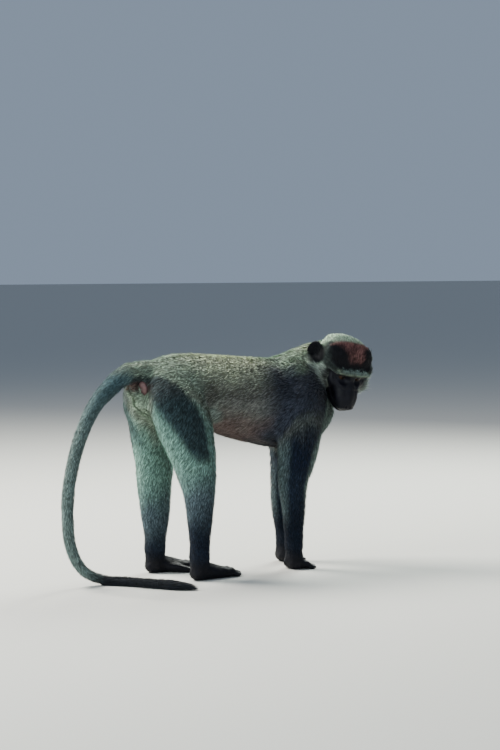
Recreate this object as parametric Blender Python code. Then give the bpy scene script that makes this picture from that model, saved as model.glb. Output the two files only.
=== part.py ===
"""Vervet monkey, life size, standing on four legs with its head turned to its right and lowered.

The animal faces +X, its left side is +Y and the floor is z = 0. Sizes are metres and include the coat.
The body is modelled whole from tapered tubes, then parted at its joints with thin cuts.
"""

import math

import bmesh
import bpy
from mathutils import Matrix, Vector

RIGHT = -1
LEFT = 1
SIDES = {"right": RIGHT, "left": LEFT}

BODY_GRAIN = 0.0019  # grain of the solids that the tubes are fused into
HEAD_GRAIN = 0.0013
CUT = 0.0006  # width of the gap at each joint
BODY_TRIANGLES = 3100
HEAD_TRIANGLES = 1150
SPAN_RINGS = 5  # rings between two stations of a tube
RING_SIDES = 20

# Trunk, along the middle plane: x, top, underside, half width.
TRUNK = [
    (-0.160, 0.298, 0.264, 0.020),
    (-0.148, 0.314, 0.242, 0.038),
    (-0.122, 0.3255, 0.226, 0.052),
    (-0.085, 0.3295, 0.217, 0.057),
    (-0.035, 0.3268, 0.2135, 0.054),
    (0.010, 0.3235, 0.1985, 0.054),
    (0.050, 0.3205, 0.1885, 0.057),
    (0.085, 0.3205, 0.1815, 0.060),
    (0.120, 0.3265, 0.1820, 0.056),
    (0.148, 0.3270, 0.2010, 0.040),
    (0.163, 0.3150, 0.2310, 0.026),
]

# Neck: centre, half width, half height.
NECK = [
    ((0.088, 0.000, 0.2720), 0.042, 0.047),
    ((0.120, 0.002, 0.2870), 0.037, 0.043),
    ((0.148, 0.002, 0.3000), 0.032, 0.038),
    ((0.168, -0.007, 0.3110), 0.029, 0.033),
    ((0.178, -0.024, 0.3170), 0.026, 0.028),
]

# Head: the point midway between the eyes, and how the level head is turned, lowered and tilted.
EYES_MIDDLE = Vector((0.1710, -0.0670, 0.2922))
HEAD_TURN = math.radians(-102)
HEAD_DROP = math.radians(43)
HEAD_TILT = math.radians(10)  # its right side up
EYE_RADIUS = 0.0083
EYE_SIDE = 0.0138  # from the middle of the face

# Each limb: centre, half depth fore and aft, half width across. y is given for the left side.
ARM = {
    "left": [
        ((0.094, 0.028, 0.300), 0.028, 0.018),
        ((0.117, 0.041, 0.270), 0.037, 0.025),
        ((0.128, 0.048, 0.235), 0.034, 0.026),
        ((0.134, 0.050, 0.200), 0.030, 0.023),
        ((0.1355, 0.049, 0.165), 0.0255, 0.0210),
        ((0.1300, 0.045, 0.132), 0.0228, 0.0185),
        ((0.1242, 0.040, 0.090), 0.0195, 0.0152),
        ((0.1245, 0.037, 0.055), 0.0150, 0.0128),
        ((0.1255, 0.036, 0.032), 0.0122, 0.0125),
    ],
    "right": [
        ((0.094, 0.028, 0.300), 0.028, 0.018),
        ((0.107, 0.041, 0.270), 0.039, 0.025),
        ((0.0985, 0.048, 0.235), 0.0400, 0.026),
        ((0.0905, 0.051, 0.200), 0.0385, 0.024),
        ((0.0865, 0.051, 0.168), 0.0340, 0.022),
        ((0.0825, 0.047, 0.135), 0.0260, 0.0195),
        ((0.0872, 0.042, 0.092), 0.0200, 0.0155),
        ((0.0905, 0.038, 0.058), 0.0165, 0.0130),
        ((0.0915, 0.037, 0.032), 0.0138, 0.0125),
    ],
}
LEG = {
    "left": [
        ((-0.116, 0.024, 0.297), 0.032, 0.022),
        ((-0.119, 0.037, 0.268), 0.042, 0.032),
        ((-0.107, 0.045, 0.230), 0.0400, 0.032),
        ((-0.102, 0.050, 0.197), 0.0370, 0.029),
        ((-0.1005, 0.052, 0.166), 0.0315, 0.026),
        ((-0.1010, 0.052, 0.132), 0.0280, 0.0225),
        ((-0.1000, 0.051, 0.092), 0.0240, 0.0180),
        ((-0.1005, 0.050, 0.055), 0.0180, 0.0140),
        ((-0.1020, 0.050, 0.032), 0.0165, 0.0135),
    ],
    "right": [
        ((-0.116, 0.024, 0.297), 0.032, 0.022),
        ((-0.119, 0.037, 0.268), 0.0450, 0.032),
        ((-0.1110, 0.045, 0.230), 0.0450, 0.032),
        ((-0.1030, 0.051, 0.197), 0.0395, 0.029),
        ((-0.0960, 0.054, 0.166), 0.0335, 0.026),
        ((-0.0905, 0.054, 0.132), 0.0255, 0.0225),
        ((-0.0885, 0.053, 0.092), 0.0200, 0.0172),
        ((-0.0875, 0.051, 0.055), 0.0160, 0.0138),
        ((-0.0878, 0.050, 0.032), 0.0158, 0.0135),
    ],
}

# Tail: centre and radius. It arches back, hangs to the floor and lies there, its tip swept to the right.
TAIL = [
    ((-0.118, 0.000, 0.2960), 0.0240),
    ((-0.150, 0.000, 0.3035), 0.0185),
    ((-0.183, 0.000, 0.2995), 0.0155),
    ((-0.211, 0.000, 0.2800), 0.0140),
    ((-0.232, 0.001, 0.2585), 0.0124),
    ((-0.2475, 0.001, 0.2330), 0.0114),
    ((-0.2600, 0.001, 0.2050), 0.0110),
    ((-0.2705, 0.000, 0.1720), 0.0107),
    ((-0.2775, 0.000, 0.1360), 0.0105),
    ((-0.2795, -0.001, 0.0960), 0.0100),
    ((-0.2740, -0.001, 0.0560), 0.0096),
    ((-0.2570, -0.003, 0.0240), 0.0091),
    ((-0.2300, -0.012, 0.0086), 0.0087),
    ((-0.2050, -0.038, 0.0073), 0.0084),
    ((-0.1860, -0.072, 0.0070), 0.0080),
    ((-0.1680, -0.101, 0.0063), 0.0071),
    ((-0.1535, -0.117, 0.0047), 0.0052),
    ((-0.1420, -0.125, 0.0024), 0.0025),
]
TAIL_CUTS = (1.65, 3.7, 6.7, 9.6, 12.2)  # where the tail is parted, counted in stations

# Hands and feet lie flat on the floor. Turn is about the vertical, outwards.
HAND = {"left": ((0.1255, 0.036), math.radians(3)), "right": ((0.0915, 0.037), math.radians(2))}
FOOT = {"left": ((-0.1000, 0.050), math.radians(2)), "right": ((-0.0860, 0.050), math.radians(-13))}
SOLE_DIP = 0.0016  # how far soles and digits reach under the floor before they are cut flat
FINGERS = [
    # where it starts: forward, outward; its spread in degrees; length; radius
    (0.0060, 0.0125, 15, 0.0210, 0.0045),
    (0.0078, 0.0045, 5, 0.0245, 0.0048),
    (0.0078, -0.0040, -3, 0.0250, 0.0049),
    (0.0065, -0.0120, -12, 0.0215, 0.0046),
]
THUMB = (-0.0050, -0.0120, -48, 0.0170, 0.0044)
TOES = [
    (0.0440, 0.0135, 10, 0.0230, 0.0048),
    (0.0490, 0.0055, 4, 0.0275, 0.0051),
    (0.0505, -0.0030, -2, 0.0285, 0.0052),
    (0.0480, -0.0112, -8, 0.0260, 0.0050),
]
BIG_TOE = (0.0180, -0.0140, -36, 0.0290, 0.0062)


def clear_scene():
    """Removes whatever the scene holds."""
    for old in list(bpy.data.objects):
        bpy.data.objects.remove(old, do_unlink=True)


def finish(name, colour, roughness):
    """A plain material of one colour."""
    material = bpy.data.materials.new(name)
    material.use_nodes = True
    shader = material.node_tree.nodes["Principled BSDF"]
    shader.inputs["Base Color"].default_value = (*colour, 1)
    shader.inputs["Roughness"].default_value = roughness
    shader.inputs["Metallic"].default_value = 0
    return material


def between(before, start, end, after, share):
    """A smooth curve through start and end, shaped by their neighbours."""
    return 0.5 * (
        2 * start
        + (end - before) * share
        + (2 * before - 5 * start + 4 * end - after) * share**2
        + (3 * start - before - 3 * end + after) * share**3
    )


def smooth_stations(stations):
    """Rows of numbers, with rings put in between them along a smooth curve."""
    rows = [Vector(s) for s in stations]
    rows = [rows[0], *rows, rows[-1]]
    fine = []
    for i in range(1, len(rows) - 2):
        for step in range(SPAN_RINGS):
            fine.append(between(*rows[i - 1 : i + 3], step / SPAN_RINGS))
    fine.append(rows[-2])
    return fine


def tube(stations, side=Vector((0, 1, 0)), frame=Matrix.Identity(4)):
    """A closed tube. Each station is a centre, its half size up the tube's own height and along side."""
    packed = [(*centre, *half) for centre, *half in stations]
    rows = smooth_stations(packed)
    centres = [Vector(r[:3]) for r in rows]
    mesh = bmesh.new()
    rings = []
    for i, row in enumerate(rows):
        run = (centres[min(i + 1, len(rows) - 1)] - centres[max(i - 1, 0)]).normalized()
        across = (side - run * side.dot(run)).normalized()
        rise = run.cross(across)
        half_rise, half_across = row[3], row[-1]
        ring = []
        for k in range(RING_SIDES):
            turn = 2 * math.pi * k / RING_SIDES
            offset = across * math.cos(turn) * half_across + rise * math.sin(turn) * half_rise
            ring.append(mesh.verts.new(frame @ (centres[i] + offset)))
        rings.append(ring)
    for first, second in zip(rings, rings[1:]):
        for k in range(RING_SIDES):
            after = (k + 1) % RING_SIDES
            mesh.faces.new((first[k], first[after], second[after], second[k]))
    for i, inward in ((0, -1), (-1, 1)):
        cap(mesh, rings[i], frame @ centres[i], inward, rows[i], centres, frame)
    return mesh


def cap(mesh, ring, centre, way, row, centres, frame):
    """Closes a tube's end with a low dome."""
    ends = (centres[0] - centres[1]) if way < 0 else (centres[-1] - centres[-2])
    out = frame.to_3x3() @ ends.normalized()
    tip = mesh.verts.new(centre + out * min(row[3], row[-1]) * 0.85)
    middle = [mesh.verts.new(centre.lerp(v.co, 0.72) + out * min(row[3], row[-1]) * 0.6) for v in ring]
    for k in range(RING_SIDES):
        after = (k + 1) % RING_SIDES
        mesh.faces.new((ring[k], ring[after], middle[after], middle[k]))
        mesh.faces.new((middle[k], middle[after], tip))


def ball(centre, radii, frame=Matrix.Identity(4), turned=Matrix.Identity(4)):
    """An ellipsoid."""
    mesh = bmesh.new()
    place = frame @ Matrix.Translation(centre) @ turned @ Matrix.Diagonal((*radii, 1))
    bmesh.ops.create_uvsphere(mesh, u_segments=28, v_segments=18, radius=1, matrix=place)
    return mesh


def head_frame():
    """From the level head's own axes, x forward and z up between the eyes, to the room."""
    turn = Matrix.Rotation(HEAD_TURN, 4, "Z") @ Matrix.Rotation(HEAD_DROP, 4, "Y") @ Matrix.Rotation(-HEAD_TILT, 4, "X")
    return Matrix.Translation(EYES_MIDDLE) @ turn


def trunk_shapes():
    """The trunk, the neck and the shoulder and rump masses."""
    stations = []
    for x, top, under, half_width in TRUNK:
        stations.append(((x, 0, (top + under) / 2), (top - under) / 2, half_width))
    neck = [(centre, half_height, half_width) for centre, half_width, half_height in NECK]
    return [tube(stations), tube(neck)]


def limb_shapes(table, sign):
    """One arm or leg, from the trunk down to the wrist or ankle."""
    stations = [((x, sign * y, z), deep, wide) for (x, y, z), deep, wide in table]
    return [tube(stations)]


def tail_shapes():
    return [tube([(centre, radius) for centre, radius in TAIL])]


def digit(frame, start, sign, height, raised, reach=1.0):
    """A finger or toe that bends down from its knuckle and lies along the floor."""
    forward, outward, spread, length, radius = start
    length *= reach
    turn = math.radians(spread)
    along = Vector((math.cos(turn), sign * math.sin(turn), 0))
    base = Vector((forward, sign * outward, height))
    floor = radius * 0.86 - SOLE_DIP
    places = [
        (base - along * 0.010 + Vector((0, 0, 0.004)), radius * 0.95),
        (base, radius * 1.05),
        (base + along * length * 0.34 + Vector((0, 0, raised)), radius * 1.06),
        (base.lerp(base + along * length, 0.62).xy.to_3d() + Vector((0, 0, floor + 0.0016)), radius * 0.92),
        ((base + along * length * 0.86).xy.to_3d() + Vector((0, 0, floor)), radius * 0.92),
        ((base + along * length).xy.to_3d() + Vector((0, 0, floor - 0.0004)), radius * 0.62),
    ]
    across = Vector((-along.y, along.x, 0))
    return tube([(place, size, size) for place, size in places], across, frame)


def palm_frame(spot, turn, sign):
    return Matrix.Translation((spot[0], sign * spot[1], 0)) @ Matrix.Rotation(sign * turn, 4, "Z")


def hand_shapes(side, sign):
    """Wrist, palm raised at its heel, four fingers and a short thumb."""
    spot, turn = HAND[side]
    frame = palm_frame(spot, turn, sign)
    palm = [
        ((0.0000, 0, 0.043), 0.0126, 0.0126),
        ((-0.0005, 0, 0.032), 0.0122, 0.0130),
        ((0.0005, 0, 0.021), 0.0112, 0.0150),
        ((0.0040, 0, 0.0115), 0.0094, 0.0172),
        ((0.0105, 0, 0.0070), 0.0070, 0.0170),
    ]
    heel = [
        ((-0.0050, 0, 0.0190), 0.0080, 0.0120),
        ((-0.0045, 0, 0.0085), 0.0078, 0.0140),
        ((0.0020, 0, 0.0052), 0.0066, 0.0160),
    ]
    shapes = [tube(palm, frame=frame), tube(heel, frame=frame)]
    shapes += [digit(frame, finger, sign, 0.0080, 0.0004) for finger in FINGERS]
    shapes.append(digit(frame, THUMB, sign, 0.0072, -0.0012))
    return shapes


def foot_shapes(side, sign):
    """Heel, long sole, four toes and the opposed big toe."""
    spot, turn = FOOT[side]
    frame = palm_frame(spot, turn, sign)
    ankle = [
        ((0.000, 0, 0.040), 0.0140, 0.0130),
        ((-0.001, 0, 0.030), 0.0150, 0.0132),
        ((-0.0020, 0, 0.019), 0.0145, 0.0125),
        ((-0.0030, 0, 0.0085), 0.0110, 0.0115),
    ]
    sole = [
        ((-0.0100, 0, 0.0098), 0.0100, 0.0094),
        ((-0.0020, 0, 0.0120), 0.0130, 0.0122),
        ((0.012, 0, 0.0120), 0.0128, 0.0140),
        ((0.029, 0, 0.0096), 0.0104, 0.0160),
        ((0.044, 0.0005 * sign, 0.0074), 0.0082, 0.0178),
        ((0.054, 0.0010 * sign, 0.0064), 0.0068, 0.0160),
    ]
    shapes = [tube(ankle, frame=frame), tube(sole, frame=frame)]
    shapes += [digit(frame, toe, sign, 0.0080, 0.0006) for toe in TOES]
    shapes.append(digit(frame, BIG_TOE, sign, 0.0078, -0.0004))
    return shapes


def muzzle_shapes(frame):
    """Muzzle, lower jaw, nose and lips, pointing forward and down from the eyes."""
    side = Vector((0, 1, 0))
    muzzle = [
        ((-0.0140, 0, -0.0110), 0.0250, 0.0300),
        ((0.0020, 0, -0.0140), 0.0200, 0.0250),
        ((0.0130, 0, -0.0195), 0.0165, 0.0200),
        ((0.0240, 0, -0.0265), 0.0142, 0.0180),
        ((0.0318, 0, -0.0318), 0.0108, 0.0150),
    ]
    jaw = [
        ((-0.0360, 0, -0.0250), 0.0160, 0.0265),
        ((-0.0140, 0, -0.0310), 0.0150, 0.0235),
        ((0.0060, 0, -0.0365), 0.0124, 0.0195),
        ((0.0190, 0, -0.0402), 0.0102, 0.0168),
        ((0.0265, 0, -0.0420), 0.0080, 0.0135),
    ]
    nose = [
        ((0.0080, 0, 0.0060), 0.0062, 0.0062),
        ((0.0120, 0, -0.0050), 0.0058, 0.0060),
        ((0.0205, 0, -0.0145), 0.0056, 0.0064),
        ((0.0315, 0, -0.0225), 0.0054, 0.0088),
        ((0.0362, 0, -0.0265), 0.0040, 0.0070),
    ]
    return [tube(part, side, frame) for part in (muzzle, jaw, nose)]


def face_shapes(frame, sign):
    """Brow, cheekbone and cheek whiskers on one side."""
    brow = [
        ((0.0085, 0, 0.0118), 0.0062, 0.0064),
        ((0.0085, sign * 0.0140, 0.0125), 0.0064, 0.0066),
        ((0.0035, sign * 0.0265, 0.0112), 0.0064, 0.0066),
        ((-0.0080, sign * 0.0350, 0.0090), 0.0060, 0.0056),
    ]
    cheekbone = [
        ((0.0070, sign * 0.0105, -0.0120), 0.0062, 0.0062),
        ((0.0035, sign * 0.0205, -0.0125), 0.0078, 0.0070),
        ((-0.0060, sign * 0.0290, -0.0085), 0.0085, 0.0075),
        ((-0.0220, sign * 0.0345, -0.0060), 0.0095, 0.0075),
    ]
    whiskers = [
        ((-0.0010, sign * 0.0250, -0.0230), 0.0110, 0.0065),
        ((-0.0120, sign * 0.0340, -0.0215), 0.0180, 0.0100),
        ((-0.0240, sign * 0.0405, -0.0185), 0.0190, 0.0105),
        ((-0.0350, sign * 0.0450, -0.0150), 0.0135, 0.0075),
        ((-0.0440, sign * 0.0480, -0.0120), 0.0070, 0.0035),
    ]
    outward = Vector((0, 1, 0))
    return [tube(brow, Vector((1, 0, 0)), frame), tube(cheekbone, outward, frame), tube(whiskers, outward, frame)]


EAR_MIDDLE = (-0.0465, 0.0415, -0.0020)  # head axes, left side
EAR_SIZE = (0.0120, 0.0168)  # half width, half height
EAR_WALL = 0.0036


def ear_shape(frame, sign):
    """A rounded, cupped ear that faces forward and out, its upper rim drawn to a blunt point."""
    mesh = bmesh.new()
    rings, spokes = 3, 16
    shell = []
    for r in range(1, rings + 1):
        share = r / rings
        ring = []
        for k in range(spokes):
            turn = 2 * math.pi * k / spokes
            point = 1 + 0.10 * max(0, math.sin(turn)) ** 6
            wide = EAR_SIZE[0] * share * math.cos(turn) * (1 + 0.10 * math.sin(turn))
            high = EAR_SIZE[1] * share * math.sin(turn) * point
            cup = 0.0062 * share**2
            ring.append((wide, cup, high))
        shell.append(ring)
    layers = []
    for wall, shift in ((0, 0.0), (1, -EAR_WALL)):
        centre = mesh.verts.new((0, shift, 0))
        rows = [[mesh.verts.new((w, c + shift, h)) for w, c, h in ring] for ring in shell]
        layers.append((centre, rows))
    for centre, rows in layers:
        for k in range(spokes):
            after = (k + 1) % spokes
            mesh.faces.new((centre, rows[0][k], rows[0][after]))
            for inner, outer in zip(rows, rows[1:]):
                mesh.faces.new((inner[k], outer[k], outer[after], inner[after]))
    rims = [rows[-1] for _, rows in layers]
    for k in range(spokes):
        after = (k + 1) % spokes
        mesh.faces.new((rims[0][k], rims[1][k], rims[1][after], rims[0][after]))
    # The cup opens forward and outward, and leans back at its top.
    lean = Matrix.Rotation(math.radians(-14), 4, "Y")
    open_way = Matrix.Rotation(sign * math.radians(-38), 4, "Z")
    mirror = Matrix.Diagonal((1, sign, 1, 1))
    place = Matrix.Translation((EAR_MIDDLE[0], sign * EAR_MIDDLE[1], EAR_MIDDLE[2]))
    bmesh.ops.transform(mesh, matrix=frame @ place @ lean @ open_way @ mirror, verts=mesh.verts)
    return mesh


def ear_root(frame, sign):
    """The short stalk that carries the ear."""
    stalk = [
        ((-0.036, sign * 0.026, -0.002), 0.0120, 0.0095),
        ((-0.041, sign * 0.034, -0.001), 0.0105, 0.0080),
        ((-0.045, sign * 0.0395, 0.000), 0.0080, 0.0050),
    ]
    return tube(stalk, Vector((1, 0, 0)), frame)


def head_shapes():
    """The skull with its coat, fuller at the sides of the crown, the face and the stalks of the ears."""
    frame = head_frame()
    shapes = [
        ball((-0.0310, 0, 0.0055), (0.0410, 0.0430, 0.0335), frame),
        ball((-0.0460, 0, -0.0050), (0.0300, 0.0345, 0.0290), frame),
        *muzzle_shapes(frame),
    ]
    for sign in SIDES.values():
        shapes.append(ball((-0.0270, sign * 0.0125, 0.0165), (0.0335, 0.0270, 0.0210), frame))
        shapes += face_shapes(frame, sign)
        shapes.append(ear_root(frame, sign))
    return shapes


def to_object(mesh, name):
    """An object from a mesh under construction, its faces turned outward."""
    bmesh.ops.recalc_face_normals(mesh, faces=mesh.faces)
    data = bpy.data.meshes.new(name)
    mesh.to_mesh(data)
    mesh.free()
    made = bpy.data.objects.new(name, data)
    bpy.context.scene.collection.objects.link(made)
    return made


def joined(shapes, name):
    """One object that holds all these meshes, with every face pointing out."""
    whole = bmesh.new()
    for shape in shapes:
        bmesh.ops.remove_doubles(shape, verts=shape.verts, dist=1e-7)
        bmesh.ops.recalc_face_normals(shape, faces=shape.faces)
        piece = bpy.data.meshes.new("piece")
        shape.to_mesh(piece)
        whole.from_mesh(piece)
        bpy.data.meshes.remove(piece)
        shape.free()
    data = bpy.data.meshes.new(name)
    whole.to_mesh(data)
    whole.free()
    made = bpy.data.objects.new(name, data)
    bpy.context.scene.collection.objects.link(made)
    return made


def settled(made):
    """Applies the object's modifiers."""
    bpy.context.view_layer.update()
    graph = bpy.context.evaluated_depsgraph_get()
    mesh = bpy.data.meshes.new_from_object(made.evaluated_get(graph))
    made.modifiers.clear()
    made.data = mesh


def carve(made, cutters):
    """Takes each cutter out of the object in turn, then drops the cutters."""
    for cutter in cutters:
        cut = made.modifiers.new("cut", "BOOLEAN")
        cut.operation = "DIFFERENCE"
        cut.solver = "EXACT"
        cut.object = cutter
        settled(made)
    for cutter in cutters:
        bpy.data.objects.remove(cutter, do_unlink=True)


def swollen(made, amount, name="room"):
    """A copy grown outward by the amount, to make room for the original."""
    data = made.data.copy()
    grown = bmesh.new()
    grown.from_mesh(data)
    grown.normal_update()
    moves = [(v, v.normal * amount * min(1.6, max(1.0, v.calc_shell_factor()))) for v in grown.verts]
    for v, move in moves:
        v.co += move
    grown.to_mesh(data)
    grown.free()
    copy = bpy.data.objects.new(name, data)
    bpy.context.scene.collection.objects.link(copy)
    return copy


def clamp(value):
    return max(0.0, min(1.0, value))


def fuse(whole, grain):
    """Fuses overlapping shapes into one skin."""
    remesh = whole.modifiers.new("fuse", "REMESH")
    remesh.mode = "VOXEL"
    remesh.voxel_size = grain
    settled(whole)


def soften(whole, share, rounds):
    """Smooths the skin; share says how much of it each point takes."""
    group = whole.vertex_groups.new(name="soft")
    for v in whole.data.vertices:
        group.add([v.index], share(v.co), "REPLACE")
    relax = whole.modifiers.new("soften", "SMOOTH")
    relax.factor = 0.5
    relax.iterations = rounds
    relax.vertex_group = "soft"
    settled(whole)


def thin_out(whole, share, triangles):
    """Thins the faces to a number of triangles; share is 1 where few faces are wanted."""
    group = whole.vertex_groups.new(name="coarse")
    for v in whole.data.vertices:
        group.add([v.index], max(0.1, share(v.co)), "REPLACE")
    thin = whole.modifiers.new("thin out", "DECIMATE")
    thin.ratio = triangles / (2 * len(whole.data.polygons))
    thin.vertex_group = "coarse"
    thin.vertex_group_factor = 0.0001
    settled(whole)
    whole.vertex_groups.clear()


def body_share(point):
    """0 on the hands and feet, which keep their detail, rising to 1 on the body."""
    if point.x < -0.14:
        return 0.85
    return clamp((point.z - 0.040) / 0.014)


def face_share(point):
    """0 on the front of the face, rising to 1 at the back of the head."""
    local = head_frame().inverted() @ point
    return clamp(-local.x / 0.024)


def plate(corners):
    """A thin flat cutter through four points."""
    points = [Vector(c) for c in corners]
    up = (points[1] - points[0]).cross(points[2] - points[0]).normalized() * CUT / 2
    mesh = bmesh.new()
    low = [mesh.verts.new(p - up) for p in points]
    high = [mesh.verts.new(p + up) for p in points]
    mesh.faces.new(low)
    mesh.faces.new(high)
    for k in range(len(points)):
        after = (k + 1) % len(points)
        mesh.faces.new((low[k], low[after], high[after], high[k]))
    return to_object(mesh, "plate")


def disc(centre, way, radius):
    """A thin round cutter across a limb or the tail, square to way."""
    mesh = bmesh.new()
    aim = Vector(way).normalized().to_track_quat("Z", "Y").to_matrix().to_4x4()
    place = Matrix.Translation(centre) @ aim
    bmesh.ops.create_cone(
        mesh, cap_ends=True, segments=24, radius1=radius, radius2=radius, depth=CUT, matrix=place
    )
    return to_object(mesh, "disc")


def sloped(low, normal, xs, ys):
    """Corners of a plate on the plane through low, over these spans of x and y."""
    n = Vector(normal)
    corners = []
    for x, y in ((xs[0], ys[0]), (xs[1], ys[0]), (xs[1], ys[1]), (xs[0], ys[1])):
        z = low[2] - (n.x * (x - low[0]) + n.y * (y - low[1])) / n.z
        corners.append((x, y, z))
    return corners


def body_cutters():
    """The plates and discs that part the body at its joints."""
    cutters = []
    for sign, forward in ((RIGHT, 0.0), (LEFT, 0.035)):
        cutters.append(
            plate(
                sloped(
                    (0.045 + forward, sign * 0.050, 0.200),
                    (-0.156, -sign * 0.857, 0.490),
                    (0.040 + forward, 0.155 + forward * 0.9),
                    (sign * 0.008, sign * 0.092),
                )
            )
        )
        cutters.append(
            plate(
                sloped(
                    (-0.120, sign * 0.010, 0.212),
                    (-0.36, sign * 0.7355, -0.573),
                    (-0.190, -0.046),
                    (sign * 0.004, sign * 0.090),
                )
            )
        )
    for side, sign in SIDES.items():
        elbow, below = ARM[side][4][0], ARM[side][5][0]
        knee, under = LEG[side][4][0], LEG[side][5][0]
        for upper, lower, radius in ((elbow, below, 0.040), (knee, under, 0.041)):
            a = Vector((upper[0], sign * upper[1], upper[2]))
            b = Vector((lower[0], sign * lower[1], lower[2]))
            cutters.append(disc(a.lerp(b, 0.4), a - b, radius))
        for table, radius in ((ARM, 0.021), (LEG, 0.025)):
            x, y, z = table[side][-1][0]
            cutters.append(disc((x, sign * y, z + 0.007), (0, 0, 1), radius))
    cutters.append(plate([(0.110, -0.060, 0.3682), (0.110, 0.060, 0.3682), (0.212, 0.060, 0.2214), (0.212, -0.060, 0.2214)]))
    for at in TAIL_CUTS:
        first = int(at)
        (a, wide), (b, narrow) = TAIL[first], TAIL[first + 1]
        middle = Vector(a).lerp(Vector(b), at - first)
        cutters.append(disc(middle, Vector(b) - Vector(a), max(wide, narrow) * (2.1 if first == 1 else 1.5)))
    return cutters


MARKS = {
    "trunk": (0.02, 0, 0.26),
    "neck": (0.160, 0.004, 0.315),
    "right_upper_arm": (0.088, -0.055, 0.190),
    "left_upper_arm": (0.134, 0.053, 0.190),
    "right_forearm": (0.085, -0.042, 0.095),
    "left_forearm": (0.126, 0.042, 0.095),
    "right_hand": (0.095, -0.037, 0.015),
    "left_hand": (0.130, 0.036, 0.015),
    "right_thigh": (-0.107, -0.055, 0.205),
    "left_thigh": (-0.105, 0.055, 0.205),
    "right_shank": (-0.089, -0.053, 0.095),
    "left_shank": (-0.101, 0.051, 0.095),
    "right_foot": (-0.070, -0.048, 0.012),
    "left_foot": (-0.085, 0.050, 0.012),
    "tail_root": (-0.198, 0, 0.290),
    "tail_upper": (-0.249, 0, 0.229),
    "tail_middle": (-0.275, 0, 0.131),
    "tail_lower": (-0.264, -0.005, 0.040),
    "tail_tip": (-0.190, -0.092, 0.009),
}


def loose_parts(made):
    """Parts the object into meshes that hold together, biggest first, and drops the object."""
    mesh = bmesh.new()
    mesh.from_mesh(made.data)
    bmesh.ops.triangulate(mesh, faces=mesh.faces)
    bmesh.ops.remove_doubles(mesh, verts=mesh.verts, dist=2e-6)
    bmesh.ops.dissolve_degenerate(mesh, edges=mesh.edges, dist=2e-6)
    seen = set()
    parts = []
    for start in mesh.verts:
        if start in seen or not start.link_faces:
            continue
        seen.add(start)
        reach, group = [start], []
        while reach:
            v = reach.pop()
            group.append(v)
            for edge in v.link_edges:
                other = edge.other_vert(v)
                if other not in seen:
                    seen.add(other)
                    reach.append(other)
        parts.append(group)
    found = []
    for group in parts:
        index = {v: i for i, v in enumerate(group)}
        faces = {f for v in group for f in v.link_faces}
        data = bpy.data.meshes.new("part")
        data.from_pydata([v.co[:] for v in group], [], [[index[v] for v in f.verts] for f in faces])
        found.append(data)
    mesh.free()
    bpy.data.objects.remove(made, do_unlink=True)
    found.sort(key=lambda data: -len(data.polygons))
    return found


def name_parts(found):
    """Gives each mark's name to the part nearest to it; crumbs are left out."""
    named = {}
    for data in found:
        points = [v.co for v in data.vertices]
        if len(points) < 24:
            continue
        middle = sum((p.copy() for p in points), Vector()) / len(points)
        best = min(MARKS, key=lambda name: (middle - Vector(MARKS[name])).length)
        if best in named:
            continue
        data.name = best
        made = bpy.data.objects.new(best, data)
        bpy.context.scene.collection.objects.link(made)
        named[best] = made
    return named


CALLOSITY = ((-0.1605, 0.0135, 0.2800), (0.0045, 0.0085, 0.0110))  # centre and half sizes, left side


def eye_at(sign, radius, name):
    mesh = bmesh.new()
    place = head_frame() @ Matrix.Translation((0, sign * EYE_SIDE, 0)) @ Matrix.Rotation(math.radians(90), 4, "Y")
    bmesh.ops.create_uvsphere(mesh, u_segments=12, v_segments=8, radius=radius, matrix=place)
    return to_object(mesh, name)


def build_head():
    """The head with its eyes and ears set in it, and the room it takes out of the neck."""
    frame = head_frame()
    head = joined(head_shapes(), "head")
    fuse(head, HEAD_GRAIN)
    orbits = []
    for sign in SIDES.values():
        orbit = ball((0.0145, sign * 0.0142, -0.0002), (0.0090, 0.0105, 0.0074), frame)
        orbits.append(to_object(orbit, "orbit"))
    carve(head, orbits)
    soften(head, lambda point: 0.25 + 0.75 * face_share(point), 8)
    thin_out(head, face_share, HEAD_TRIANGLES)
    room = swollen(head, 0.0006)
    named = {"head": head}
    rooms = []
    for side, sign in SIDES.items():
        ear = to_object(ear_shape(frame, sign), "ear_" + side)
        named["ear_" + side] = ear
        rooms.append(swollen(ear, 0.0004))
        named["eye_" + side] = eye_at(sign, EYE_RADIUS, "eye_" + side)
        rooms.append(eye_at(sign, EYE_RADIUS + 0.0005, "room"))
    carve(head, rooms)
    return named, room


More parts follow.
